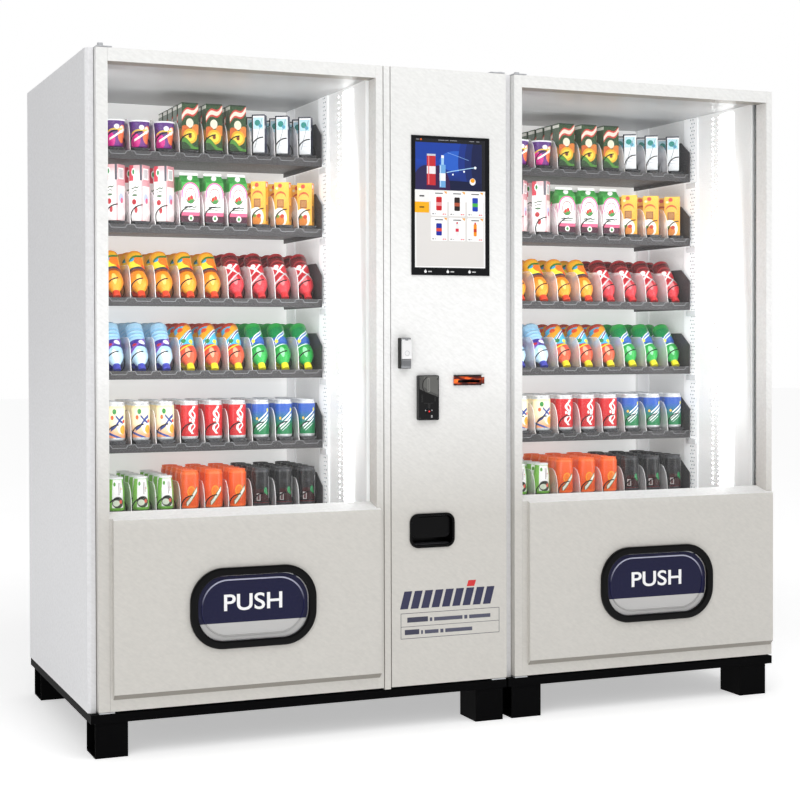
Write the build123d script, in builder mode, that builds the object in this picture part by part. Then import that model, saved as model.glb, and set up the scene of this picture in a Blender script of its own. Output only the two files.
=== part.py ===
"""Glass-front snack and drink vending machine: a main cabinet with a control door, and a side cabinet.

Everything is laid out from the machine's datum: x from its left side, y backwards from the face of
the doors, and z from the floor. save() moves each finished piece into the part's own frame: X to the
right seen from the front, Y to the back, Z up, with the origin on the floor under the middle of the
machine. All sizes are in millimetres.
"""

import os
from dataclasses import dataclass

from build123d import *

# Overall size
WIDTH = 2215
DEPTH = 925
HEIGHT = 1940
HANDLE_PROUD = 34
DATUM = Location((-WIDTH / 2, HANDLE_PROUD - (DEPTH + HANDLE_PROUD) / 2, 0))

# Running clearances and the hairline seams between sheets of one assembly
SEAM = 0.4
PIN_CLEARANCE = 0.05

# Cabinet
SIDE_THICK = 22
SIDE_FRONT = 24
SIDE_BEVEL = 8
ROOF_THICK = 22
FLOOR_THICK = 3
FOOT_HEIGHT = 96
BASE_TOP = 121
CABINET_FRONT = 80
BASE_INSET = 2
CEILING = 1907
BACK_WALL_FRONT = 815
BACK_WALL_REAR = 903
DECK_TOP = 575
DECK_THICK = 30
DECK_FRONT = 440
BIN_FLOOR = 240
BIN_FLOOR_THICK = 24
BULKHEAD_THICK = 20
GRILLE_Z = (160, 520)
GRILLE_INSET = 60
INLET_Z = (300, 352)

# Doors
DOOR_BOTTOM = 126
DOOR_TOP = 1938.5
FRAME_DEPTH = 56
FRAME_RAILS = (215, 585)
FRAME_WEB = 26
GLASS_THICK = 18
GLASS_OVERLAP = 8
SEAL_WIDTH = 12
WINDOW_Z = (668, 1902)
SILL_FRONT = 650
SILL_UNDER = 641
PANEL_PROUD = 15
PANEL_BOTTOM = 158
PANEL_Y = (-PANEL_PROUD, -SEAM)
BEZEL_PROUD = 27
BEZEL_WIDTH = 22
FLAP_THICK = 4
FLAP_GAP = 2
FLAP_Y = -12
FLAP_PIVOT_DROP = 9
FLAP_SWING_ROOM = 10
TRUNNION_RADIUS = 2.5
TRUNNION_INSET = 12
MOUTH_ROUND = 0.42
CONTROL_DEPTH = 40
CONTROL_SKIN = 3
CONTROL_DOOR_X = (887, 1260)
POST_X = (865, 884)
POST_DEPTH = 36

# Hinge pins
PIN_RADIUS = 5
PIN_BEHIND_FACE = 12
PIN_LENGTH = 28
PIN_INSET = 14

# Trays
TRAY_PITCH = 220.6
TRAY_COUNT = 6
TRAY_LOWEST = 583.7
TRAY_Y = (430, 805)
TRAY_LIP = 26
TRAY_FLOOR = (13, 15)
TRAY_SHEET = 2
TRAY_SIDE_HEIGHT = 140
TRAY_SIDE_FRONT = 100
TRAY_SIDE_SLOPE = 55
MOTOR_RAIL_Y = (760, 804)
MOTOR_RAIL_HEIGHT = 80
LANES = 10

# Dispensing spirals of the main cabinet's top tray
SPIRAL_COUNT = 5
SPIRAL_RADIUS = 33.5
SPIRAL_WIRE = 2
SPIRAL_PITCH = 60
SPIRAL_TURNS = 5
SPIRAL_FRONT = 436
SPIRAL_ARM_RADIUS = 2.5
SPIRAL_HUB_RADIUS = 9
SPIRAL_HUB_LENGTH = 22
SPIRAL_HUB_OFFSET = 6


@dataclass
class Unit:
    """One cabinet: edges are x from the machine's left side."""

    name: str
    sides: tuple
    door: tuple
    window: tuple
    cold: tuple
    cold_right_wall: float
    tray: tuple
    panel: tuple
    bezel_x: tuple
    bezel_z: tuple
    right_side_front: float
    feet_x: tuple

    @property
    def mouth_centre(self):
        return (sum(self.bezel_x) / 2, sum(self.bezel_z) / 2)

    @property
    def mouth_size(self):
        width = self.bezel_x[1] - self.bezel_x[0] - 2 * BEZEL_WIDTH
        height = self.bezel_z[1] - self.bezel_z[0] - 2 * BEZEL_WIDTH
        return (width, height)

    @property
    def flap_pivot(self):
        x, z = self.mouth_centre
        return (x, FLAP_Y, z + self.mouth_size[1] / 2 - FLAP_GAP - FLAP_PIVOT_DROP)


MAIN = Unit(
    name="main",
    sides=(0, 1262),
    door=(24, 862),
    window=(56, 841),
    cold=(58, 840),
    cold_right_wall=884,
    tray=(68, 829),
    panel=(64, 849),
    bezel_x=(276, 646),
    bezel_z=(279, 506),
    right_side_front=48,
    feet_x=((14, 105), (1158, 1248)),
)
SIDE = Unit(
    name="side",
    sides=(1264, WIDTH),
    door=(1288, 2212),
    window=(1314, 2191),
    cold=(1316, 2190),
    cold_right_wall=WIDTH - SIDE_THICK - SEAM,
    tray=(1327, 2178),
    panel=(1332, 2207),
    bezel_x=(1574, 1975),
    bezel_z=(267, 500),
    right_side_front=CABINET_FRONT,
    feet_x=((1278, 1376), (2093, 2189)),
)
UNITS = (MAIN, SIDE)

# Hinge axes: the glass doors turn at their left edge, the control door at its right edge
MAIN_PIVOT = MAIN.door[0] + PIN_INSET
SIDE_PIVOT = SIDE.door[0] + PIN_INSET
CONTROL_PIVOT = CONTROL_DOOR_X[1] - PIN_INSET


def block(x, y, z, mode=Mode.ADD):
    """A box between three (low, high) pairs."""
    with Locations((sum(x) / 2, sum(y) / 2, sum(z) / 2)):
        Box(x[1] - x[0], y[1] - y[0], z[1] - z[0], mode=mode)


def rod(centre, radius, length, axis="Z", mode=Mode.ADD):
    """A round bar of that length about its centre, along one axis."""
    turns = {"X": (0, 90, 0), "Y": (90, 0, 0), "Z": (0, 0, 0)}
    with Locations(centre):
        Cylinder(radius, length, rotation=turns[axis], mode=mode)


def face_plane(y):
    """The upright plane y behind the door face: sketch x is x, and sketch y is z."""
    return Plane.XZ.offset(-y)


def save(builder, node):
    """Names the finished piece, moves it into the part's frame and writes it."""
    piece = builder.part.moved(DATUM)
    piece.label = node
    export_step(piece, f"parts/{node}.step")


os.makedirs("parts", exist_ok=True)


# Cabinets: painted steel shells
def cabinet(unit):
    left, right = unit.sides
    inner = (left + SIDE_THICK + SEAM, right - SIDE_THICK - SEAM)
    grille = (inner[0] + GRILLE_INSET, inner[1] - GRILLE_INSET)
    back = (BACK_WALL_REAR + SEAM, DEPTH)
    right_strip = [GRILLE_Z]
    if unit is MAIN:
        right_strip = [(GRILLE_Z[0], INLET_Z[0] - SEAM), (INLET_Z[1] + SEAM, GRILLE_Z[1])]
    with BuildPart() as shell:
        block((left, left + SIDE_THICK), (SIDE_FRONT, DEPTH), (BASE_TOP, HEIGHT))
        front_edges = edges().filter_by(Axis.Z).group_by(Axis.Y)[0]
        chamfer(front_edges.sort_by(Axis.X)[0], SIDE_BEVEL)
        block((right - SIDE_THICK, right), (unit.right_side_front, DEPTH), (BASE_TOP, HEIGHT))
        for z in ((HEIGHT - ROOF_THICK, HEIGHT), (BASE_TOP, BASE_TOP + FLOOR_THICK)):
            block(inner, (CABINET_FRONT, DEPTH), z)
            if unit.right_side_front < CABINET_FRONT:
                block((POST_X[1], inner[1]), (unit.right_side_front, CABINET_FRONT - SEAM), z)
        block(inner, back, (GRILLE_Z[1] + SEAM, HEIGHT - ROOF_THICK - SEAM))
        block(inner, back, (BASE_TOP + FLOOR_THICK + SEAM, GRILLE_Z[0] - SEAM))
        block((inner[0], grille[0] - SEAM), back, GRILLE_Z)
        for z in right_strip:
            block((grille[1] + SEAM, inner[1]), back, z)
    return shell


for unit in UNITS:
    save(cabinet(unit), f"{unit.name}_cabinet")


# Liners: the insulated white walls of the cold compartment
def liner(unit):
    left, right = unit.cold
    outer_left = unit.sides[0] + SIDE_THICK + SEAM
    top = HEIGHT - ROOF_THICK - SEAM
    walls_y = (CABINET_FRONT, BACK_WALL_REAR)
    walls_z = (BASE_TOP + FLOOR_THICK + SEAM, top)
    across = (left + SEAM, right - SEAM)
    deck_z = (DECK_TOP - DECK_THICK, DECK_TOP)
    bin_floor_z = (BIN_FLOOR - BIN_FLOOR_THICK, BIN_FLOOR)
    bulkhead = (DECK_FRONT, DECK_FRONT + BULKHEAD_THICK)
    with BuildPart() as walls:
        block((outer_left, left), walls_y, walls_z)
        block((right, unit.cold_right_wall), walls_y, walls_z)
        block(across, (CABINET_FRONT, BACK_WALL_FRONT - SEAM), (CEILING, top))
        block(across, (BACK_WALL_FRONT, BACK_WALL_REAR), (deck_z[0], top))
        block(across, (DECK_FRONT, BACK_WALL_FRONT - SEAM), deck_z)
        block(across, bulkhead, (bin_floor_z[0], deck_z[0] - SEAM))
        block(across, (CABINET_FRONT, DECK_FRONT - SEAM), bin_floor_z)
    return walls


for unit in UNITS:
    save(liner(unit), f"{unit.name}_liner")

# Base frames and feet
with BuildPart() as base_frames:
    for unit in UNITS:
        frame_x = (unit.sides[0] + BASE_INSET, unit.sides[1] - BASE_INSET)
        block(frame_x, (0, DEPTH - BASE_INSET), (FOOT_HEIGHT, BASE_TOP - SEAM))
save(base_frames, "base_frames")

FOOT_DEPTH = 112
FOOT_WALL = 3
FOOT_TOP = FOOT_HEIGHT - SEAM
FOOT_INSET = 2


def foot(low, high, front, open_side):
    """A folded steel box, open on its outer side, as one plate for each wall."""
    back = front + FOOT_DEPTH
    for z in ((0, FOOT_WALL), (FOOT_TOP - FOOT_WALL, FOOT_TOP)):
        block((low, high), (front, back), z)
    walls_z = (FOOT_WALL + SEAM, FOOT_TOP - FOOT_WALL - SEAM)
    for y in ((front, front + FOOT_WALL), (back - FOOT_WALL, back)):
        block((low, high), y, walls_z)
    inner_wall = (high - FOOT_WALL, high) if open_side < 0 else (low, low + FOOT_WALL)
    block(inner_wall, (front + FOOT_WALL + SEAM, back - FOOT_WALL - SEAM), walls_z)


with BuildPart() as feet:
    for unit in UNITS:
        for open_side, (low, high) in zip((-1, 1), unit.feet_x):
            for front in (FOOT_INSET, DEPTH - FOOT_INSET - FOOT_DEPTH):
                foot(low, high, front, open_side)
save(feet, "feet")

# Upright tray rails on both walls, and one runner for each side of each tray
RAIL_THICK = 4
RUNNER_THICK = 5
RAILS_Y = ((397, 480), (720, 790))
RUNNER_Y = (440, 800)
tray_bottoms = [TRAY_LOWEST + TRAY_PITCH * step for step in range(TRAY_COUNT)][::-1]
RUNNER_Z = (1, 11)
with BuildPart() as tray_rails:
    for unit in UNITS:
        for wall, inwards in zip(unit.cold, (1, -1)):
            rail_x = sorted((wall + SEAM * inwards, wall + RAIL_THICK * inwards))
            runner_near = wall + (RAIL_THICK + SEAM) * inwards
            runner_far = wall + (RAIL_THICK + RUNNER_THICK - SEAM) * inwards
            for rail_y in RAILS_Y:
                block(rail_x, rail_y, (DECK_TOP + SEAM, CEILING - SEAM))
            for bottom in tray_bottoms:
                runner_z = (bottom + RUNNER_Z[0], bottom + RUNNER_Z[1])
                block(sorted((runner_near, runner_far)), RUNNER_Y, runner_z)
save(tray_rails, "tray_rails")

# Light strips behind the glass, down both walls
STRIP_Y = (185, 258)
STRIP_THICK = 4
STRIP_Z = (WINDOW_Z[0] - 20, CEILING - 10)
with BuildPart() as light_strips:
    for unit in UNITS:
        left, right = unit.cold
        block((left + SEAM, left + STRIP_THICK), STRIP_Y, STRIP_Z)
        block((right - STRIP_THICK, right - SEAM), STRIP_Y, STRIP_Z)
save(light_strips, "light_strips")

# Door hinges: a plate and a pin at the top and bottom of each door
PLATE_THICK = 3
PLATE_FRONT = 2
TOP_PLATE_BACK = CABINET_FRONT + 40
BOTTOM_PLATE_BACK = CONTROL_DEPTH + 4
PIN_HEAD_RADIUS = PIN_RADIUS + 3
HINGES = (
    (MAIN_PIVOT, (26, 69), 8),
    (CONTROL_PIVOT, (1212, 1258), 1.5),
    (SIDE_PIVOT, (1290, 1331), 4),
)
with BuildPart() as door_hinges:
    for pivot, plate, head in HINGES:
        plate_top = HEIGHT + PLATE_THICK
        top_pin = PIN_LENGTH + PLATE_THICK
        block(plate, (PLATE_FRONT, TOP_PLATE_BACK), (HEIGHT, plate_top))
        rod((pivot, PIN_BEHIND_FACE, plate_top - top_pin / 2), PIN_RADIUS, top_pin)
        rod((pivot, PIN_BEHIND_FACE, plate_top + head / 2), PIN_HEAD_RADIUS, head)
        block(plate, (PLATE_FRONT, BOTTOM_PLATE_BACK), (BASE_TOP, BASE_TOP + PLATE_THICK))
        rod((pivot, PIN_BEHIND_FACE, BASE_TOP + PIN_LENGTH / 2), PIN_RADIUS, PIN_LENGTH)
save(door_hinges, "door_hinges")

# Centre post between the two doors of the main cabinet
with BuildPart() as centre_post:
    block(POST_X, (0, POST_DEPTH), (BASE_TOP, DOOR_TOP))
save(centre_post, "centre_post")


# Delivery bins: a front lip, a sloping floor and a back plate, behind the pick-up openings
BIN_GAP = 4
BIN_SHEET = 3
BIN_LIP_HEIGHT = 26
BIN_RISE = 36
BIN_FLOOR_RUN = 200


def sheet_between(ends, outline):
    """A folded sheet: its outline in y and z, drawn out from one end to the other."""
    with BuildSketch(Plane.YZ.offset(ends[0])) as profile:
        with BuildLine():
            Polyline(*outline, close=True)
        make_face()
    extrude(profile.sketch, amount=ends[1] - ends[0])


def delivery_bin(unit):
    left, right = unit.cold
    ends = (left + BIN_GAP, right - BIN_GAP)
    front = CABINET_FRONT + BIN_GAP
    low = BIN_FLOOR + BIN_GAP
    high = low + BIN_RISE
    floor_back = front + BIN_FLOOR_RUN
    deck_under = DECK_TOP - DECK_THICK
    with BuildPart() as trough:
        block(ends, (front, front + BIN_SHEET), (low, low + BIN_LIP_HEIGHT))
        sheet_between(
            ends,
            (
                (front + BIN_GAP, low),
                (floor_back, high),
                (floor_back, high + BIN_SHEET),
                (front + BIN_GAP, low + BIN_SHEET),
            ),
        )
        sheet_between(
            ends,
            (
                (floor_back + 1, high),
                (DECK_FRONT - BIN_GAP, deck_under),
                (DECK_FRONT - 2 * BIN_GAP, deck_under),
                (floor_back + 1, high + 2 * BIN_SHEET),
            ),
        )
    return trough


for unit in UNITS:
    save(delivery_bin(unit), f"{unit.name}_delivery_bin")

# Cooling units on the floor behind the delivery bins, laid out from the middle of each cabinet
FAN_Y = 852
FAN_Z = 340
HUB_RADIUS = 24
HUB_LENGTH = 24
BLADE_COUNT = 5
BLADE_MIDDLE = 63
BLADE_LENGTH = 90
BLADE_CHORD = 58
BLADE_THICK = 2.5
BLADE_TWIST = 28
CONDENSER_HALF = 200
CONDENSER_Y = (740, 790)
CONDENSER_Z = (170, 520)
COMPRESSOR_CENTRE = (-90, 600, 240)
COMPRESSOR_RADIUS = 85
COMPRESSOR_HEIGHT = 190
SKID_HALF = 190
SKID_Y = (485, 735)
SKID_Z = (126, 140)
RECEIVER_X = (40, 180)
RECEIVER_Y = (540, 660)
RECEIVER_Z = (141, 300)
FAN_MOTOR_Y = (791, 815)
with BuildPart() as cooling_units:
    for unit in UNITS:
        centre = sum(unit.cold) / 2
        compressor = (centre + COMPRESSOR_CENTRE[0], *COMPRESSOR_CENTRE[1:])
        receiver_x = (centre + RECEIVER_X[0], centre + RECEIVER_X[1])
        fan_motor_x = (centre - HUB_RADIUS, centre + HUB_RADIUS)
        block((centre - CONDENSER_HALF, centre + CONDENSER_HALF), CONDENSER_Y, CONDENSER_Z)
        rod(compressor, COMPRESSOR_RADIUS, COMPRESSOR_HEIGHT)
        block((centre - SKID_HALF, centre + SKID_HALF), SKID_Y, SKID_Z)
        block(receiver_x, RECEIVER_Y, RECEIVER_Z)
        block(fan_motor_x, FAN_MOTOR_Y, (FAN_Z - HUB_RADIUS, FAN_Z + HUB_RADIUS))
save(cooling_units, "cooling_units")


def fan(unit):
    centre = (sum(unit.cold) / 2, FAN_Y, FAN_Z)
    with BuildPart(Plane(origin=centre, x_dir=(1, 0, 0), z_dir=(0, -1, 0))) as blades:
        Cylinder(HUB_RADIUS, HUB_LENGTH)
        with PolarLocations(BLADE_MIDDLE, BLADE_COUNT):
            Box(BLADE_LENGTH, BLADE_CHORD, BLADE_THICK, rotation=(BLADE_TWIST, 0, 0))
    return blades


for unit in UNITS:
    save(fan(unit), f"{unit.name}_fan")

# Rear grilles: a frame of four bars with level slats between its uprights
GRILLE_Y = (DEPTH - 6, DEPTH - 2)
GRILLE_BORDER = 26
SLAT_HEIGHT = 11
SLAT_PITCH = 20
SLAT_END_GAP = 4
with BuildPart() as rear_grilles:
    for unit in UNITS:
        left = unit.sides[0] + SIDE_THICK + GRILLE_INSET + 2 * SEAM
        right = unit.sides[1] - SIDE_THICK - GRILLE_INSET - 2 * SEAM
        bottom, top = GRILLE_Z[0] + SEAM, GRILLE_Z[1] - SEAM
        between = (left + GRILLE_BORDER + SEAM, right - GRILLE_BORDER - SEAM)
        block((left, left + GRILLE_BORDER), GRILLE_Y, (bottom, top))
        block((right - GRILLE_BORDER, right), GRILLE_Y, (bottom, top))
        block(between, GRILLE_Y, (bottom, bottom + GRILLE_BORDER))
        block(between, GRILLE_Y, (top - GRILLE_BORDER, top))
        slat = bottom + GRILLE_BORDER + SLAT_PITCH - SLAT_HEIGHT
        while slat + SLAT_HEIGHT < top - GRILLE_BORDER - SLAT_END_GAP:
            block(between, GRILLE_Y, (slat, slat + SLAT_HEIGHT))
            slat += SLAT_PITCH
save(rear_grilles, "rear_grilles")


# Glass doors
PANEL_LAP = 8
FLAP_BAY_MARGIN = 40
SEAL_INSET = 2
SEAL_GAP = 1
SEAL_TOP_GAP = 4
SEAL_RAIL_GAP = 7
BEZEL_ROUND = 5


def pin_bores(pivot):
    """The holes in the top and bottom of a door for its hinge pins, a little longer than the pins."""
    for middle in (DOOR_TOP - PIN_LENGTH / 2 + 1, DOOR_BOTTOM + PIN_LENGTH / 2 - 1):
        bore = (pivot, PIN_BEHIND_FACE, middle)
        rod(bore, PIN_RADIUS + PIN_CLEARANCE, PIN_LENGTH + 2, mode=Mode.SUBTRACT)


def door_frame(unit, pivot):
    left, right = unit.door
    window = (unit.window[0] + SEAM, unit.window[1] - SEAM)
    depth = (0, FRAME_DEPTH)
    centre = unit.mouth_centre[0]
    half = unit.mouth_size[0] / 2 + FLAP_BAY_MARGIN
    bottom_rail_top, middle_rail_bottom = FRAME_RAILS
    web = (FRAME_DEPTH - FRAME_WEB, FRAME_DEPTH)
    web_z = (bottom_rail_top + SEAM, middle_rail_bottom - SEAM)
    filler = (window[0], unit.panel[0] + PANEL_LAP)
    with BuildPart() as frame:
        block((left, unit.window[0]), depth, (DOOR_BOTTOM, DOOR_TOP))
        block((unit.window[1], right), depth, (DOOR_BOTTOM, DOOR_TOP))
        block(window, depth, (WINDOW_Z[1], DOOR_TOP))
        block(window, depth, (middle_rail_bottom, SILL_UNDER - SEAM))
        block(window, depth, (DOOR_BOTTOM, bottom_rail_top))
        block(filler, (0, web[0] - SEAM), web_z)
        block((window[0], centre - half), web, web_z)
        block((centre + half, window[1]), web, web_z)
        pin_bores(pivot)
    return frame


def door_glass(unit):
    with BuildPart() as glass:
        block(
            (unit.window[0] - GLASS_OVERLAP, unit.window[1] + GLASS_OVERLAP),
            (FRAME_DEPTH + SEAM, FRAME_DEPTH + GLASS_THICK),
            (WINDOW_Z[0] - GLASS_OVERLAP, WINDOW_Z[1] + GLASS_OVERLAP),
        )
    return glass


def door_seal(unit):
    """A gasket all round the back of the door, outside the glass."""
    left, right = unit.door[0] + SEAL_INSET, unit.door[1] - SEAL_INSET
    inner_left = unit.window[0] - GLASS_OVERLAP - SEAL_GAP
    inner_right = unit.window[1] + GLASS_OVERLAP + SEAL_GAP
    between = (inner_left + SEAM, inner_right - SEAM)
    y = (FRAME_DEPTH + SEAM, CABINET_FRONT - SEAL_INSET)
    bottom, top = FRAME_RAILS[0] + SEAL_RAIL_GAP, DOOR_TOP - SEAL_TOP_GAP
    with BuildPart() as seal:
        block((left, inner_left), y, (bottom, top))
        block((inner_right, right), y, (bottom, top))
        block(between, y, (WINDOW_Z[1] + GLASS_OVERLAP + SEAL_GAP, top))
        block(between, y, (bottom, bottom + SEAL_WIDTH))
    return seal


def lower_panel(unit):
    """The raised panel below the window, with the pick-up opening and the sloping sill."""
    left, right = unit.panel
    front, back = PANEL_Y
    slope = (WINDOW_Z[0] - SILL_FRONT) / (FRAME_DEPTH + PANEL_PROUD)
    sill_at_face = SILL_FRONT + slope * PANEL_PROUD
    with BuildPart() as panel:
        with BuildSketch(Plane.YZ.offset(left)):
            with BuildLine():
                Polyline(
                    (back, PANEL_BOTTOM),
                    (front, PANEL_BOTTOM + PANEL_PROUD),
                    (front, SILL_FRONT),
                    (back, sill_at_face),
                    close=True,
                )
            make_face()
        extrude(amount=right - left)
        opening = [size + 2 * FLAP_SWING_ROOM for size in unit.mouth_size]
        with BuildSketch(face_plane(front)):
            with Locations(unit.mouth_centre):
                RectangleRounded(*opening, opening[1] * MOUTH_ROUND)
        extrude(amount=-(PANEL_PROUD + 1), mode=Mode.SUBTRACT)
        bore_radius = TRUNNION_RADIUS + PIN_CLEARANCE
        rod(unit.flap_pivot, bore_radius, opening[0], axis="X", mode=Mode.SUBTRACT)
        with BuildSketch(Plane.YZ.offset(unit.window[0] + SEAM)):
            with BuildLine():
                Polyline(
                    (0, SILL_UNDER),
                    (0, sill_at_face),
                    (FRAME_DEPTH, WINDOW_Z[0]),
                    (FRAME_DEPTH, SILL_UNDER),
                    close=True,
                )
            make_face()
        extrude(amount=unit.window[1] - unit.window[0] - 2 * SEAM)
    return panel


def pickup_bezel(unit):
    width, height = unit.mouth_size
    with BuildPart() as bezel:
        with BuildSketch(face_plane(-BEZEL_PROUD)):
            with Locations(unit.mouth_centre):
                outer = (width + 2 * BEZEL_WIDTH, height + 2 * BEZEL_WIDTH)
                RectangleRounded(*outer, outer[1] * MOUTH_ROUND)
                RectangleRounded(width, height, height * MOUTH_ROUND, mode=Mode.SUBTRACT)
        extrude(amount=-(BEZEL_PROUD - PANEL_PROUD - SEAM))
        front_rims = faces().sort_by(Axis.Y)[0].edges()
        fillet(front_rims, BEZEL_ROUND)
    return bezel


def pickup_flap(unit):
    """The flap hangs from a rod near its top edge, whose ends turn in the panel, and swings inwards."""
    width, height = [size - 2 * FLAP_GAP for size in unit.mouth_size]
    with BuildPart() as flap:
        with BuildSketch(face_plane(FLAP_Y - FLAP_THICK / 2)):
            with Locations(unit.mouth_centre):
                RectangleRounded(width, height, height * MOUTH_ROUND)
        extrude(amount=-FLAP_THICK)
        rod(unit.flap_pivot, TRUNNION_RADIUS, width - 2 * TRUNNION_INSET, axis="X")
    return flap


for unit, pivot in zip(UNITS, (MAIN_PIVOT, SIDE_PIVOT)):
    save(door_frame(unit, pivot), f"{unit.name}_door_frame")
    save(door_glass(unit), f"{unit.name}_door_glass")
    save(door_seal(unit), f"{unit.name}_door_seal")
    save(lower_panel(unit), f"{unit.name}_lower_panel")
    save(pickup_bezel(unit), f"{unit.name}_pickup_bezel")
    save(pickup_flap(unit), f"{unit.name}_pickup_flap")

# Control door: a folded pan with cut-outs for everything that it carries
SCREEN_X = (951, 1203.5)
SCREEN_Z = (1332.5, 1742)
COIN_PLATE_X = (967, 1033)
COIN_PLATE_Z = (906, 1038)
COIN_PLATE_PROUD = 14
READER_X = (1086, 1184.5)
READER_Z = (1007, 1038)
CUP_X = (944, 1087)
CUP_Z = (530, 631)
CUP_RADIUS = 26
CUP_DEPTH = 58
LOCK_X = (908, 940)
LOCK_Z = (1058, 1148)
LOCK_CENTRE = (sum(LOCK_X) / 2, 1134)
SPINDLE_RADIUS = 7
COIN_BUTTON = (sum(COIN_PLATE_X) / 2, 932)
COIN_BUTTON_RADIUS = 8
LOCK_BUTTON_X = (911, 937)
LOCK_BUTTON_Z = (1066, 1084)
LOCK_STEM = (LOCK_CENTRE[0], 1075)
LOCK_STEM_RADIUS = 4
CUT_OUTS = (
    (SCREEN_X, SCREEN_Z, 8, 1),
    (COIN_PLATE_X, COIN_PLATE_Z, 8, 1),
    (READER_X, READER_Z, 3, 1),
    (CUP_X, CUP_Z, 3, CUP_RADIUS - 3),
)
ROUND_CUT_OUTS = (
    (LOCK_CENTRE, SPINDLE_RADIUS + 2),
    (LOCK_STEM, LOCK_STEM_RADIUS + 1),
    (COIN_BUTTON, COIN_BUTTON_RADIUS + 1),
)
HINGE_BLOCK_HALF = 11
HINGE_BLOCK_BACK = 23
with BuildPart() as control_door:
    left, right = CONTROL_DOOR_X
    fold_y = (CONTROL_SKIN + SEAM, CONTROL_DEPTH)
    inside = (left + CONTROL_SKIN, right - CONTROL_SKIN)
    inside_z = (DOOR_BOTTOM + CONTROL_SKIN + SEAM, DOOR_TOP - CONTROL_SKIN - SEAM)
    block(CONTROL_DOOR_X, (0, CONTROL_SKIN), (DOOR_BOTTOM, DOOR_TOP))
    for x, z, rim, corner in CUT_OUTS:
        with BuildSketch(face_plane(-1)):
            with Locations((sum(x) / 2, sum(z) / 2)):
                RectangleRounded(x[1] - x[0] - 2 * rim, z[1] - z[0] - 2 * rim, corner)
        extrude(amount=-(CONTROL_SKIN + 2), mode=Mode.SUBTRACT)
    for (x, z), radius in ROUND_CUT_OUTS:
        rod((x, CONTROL_SKIN / 2, z), radius, CONTROL_SKIN + 2, axis="Y", mode=Mode.SUBTRACT)
    for z in ((DOOR_BOTTOM, inside_z[0] - SEAM), (inside_z[1] + SEAM, DOOR_TOP)):
        block(CONTROL_DOOR_X, fold_y, z)
    for x in ((left, inside[0]), (inside[1], right)):
        block(x, fold_y, inside_z)
    for low in (inside_z[0], inside_z[1] - PIN_LENGTH):
        hinge_block_x = (CONTROL_PIVOT - HINGE_BLOCK_HALF, inside[1] - SEAM)
        block(hinge_block_x, (CONTROL_SKIN + SEAM, HINGE_BLOCK_BACK), (low, low + PIN_LENGTH))
    pin_bores(CONTROL_PIVOT)
save(control_door, "control_door")

SCREEN_PROUD = 3
SCREEN_RIM = 10
SCREEN_BACK = 34
with BuildPart() as touch_screen:
    block(SCREEN_X, (-SCREEN_PROUD, -SEAM), SCREEN_Z)
    body_x = (SCREEN_X[0] + SCREEN_RIM, SCREEN_X[1] - SCREEN_RIM)
    body_z = (SCREEN_Z[0] + SCREEN_RIM, SCREEN_Z[1] - SCREEN_RIM)
    block(body_x, (-SEAM, SCREEN_BACK), body_z)
save(touch_screen, "touch_screen")

# Lock: a proud housing, a spindle with its cam, a lever that lifts off the housing, and a release button
HOUSING_PROUD = 23
HOUSING_CORNER = 3
with BuildPart() as lock_housing:
    with BuildSketch(face_plane(-HOUSING_PROUD)):
        with Locations((sum(LOCK_X) / 2, sum(LOCK_Z) / 2)):
            RectangleRounded(LOCK_X[1] - LOCK_X[0], LOCK_Z[1] - LOCK_Z[0], HOUSING_CORNER)
        with Locations(LOCK_CENTRE):
            Circle(SPINDLE_RADIUS + PIN_CLEARANCE, mode=Mode.SUBTRACT)
        with Locations(LOCK_STEM):
            Circle(LOCK_STEM_RADIUS + PIN_CLEARANCE, mode=Mode.SUBTRACT)
    extrude(amount=-(HOUSING_PROUD - SEAM))
save(lock_housing, "lock_housing")

CAM_LENGTH = 52
CAM_HALF = 8
CAM_Y = (44, 48)
TONGUE_Y = (-30.2, -22)
TONGUE_HALF_WIDTH = 4
TONGUE_HALF_HEIGHT = 3.2
HINGE_PIN = (LOCK_CENTRE[0], -27.5, LOCK_CENTRE[1])
HINGE_PIN_RADIUS = 2
with BuildPart() as handle_spindle:
    shaft = (TONGUE_Y[1] - 0.5, CAM_Y[1])
    rod((LOCK_CENTRE[0], sum(shaft) / 2, LOCK_CENTRE[1]), SPINDLE_RADIUS, shaft[1] - shaft[0], axis="Y")
    tongue_x = (LOCK_CENTRE[0] - TONGUE_HALF_WIDTH, LOCK_CENTRE[0] + TONGUE_HALF_WIDTH)
    tongue_z = (LOCK_CENTRE[1] - TONGUE_HALF_HEIGHT, LOCK_CENTRE[1] + TONGUE_HALF_HEIGHT)
    block(tongue_x, TONGUE_Y, tongue_z)
    cam_z = (LOCK_CENTRE[1] - CAM_HALF, LOCK_CENTRE[1] + CAM_LENGTH)
    block((LOCK_CENTRE[0] - CAM_HALF, LOCK_CENTRE[0] + CAM_HALF), CAM_Y, cam_z)
    hole_length = 4 * TONGUE_HALF_WIDTH
    rod(HINGE_PIN, HINGE_PIN_RADIUS + PIN_CLEARANCE, hole_length, axis="X", mode=Mode.SUBTRACT)
save(handle_spindle, "handle_spindle")

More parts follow.
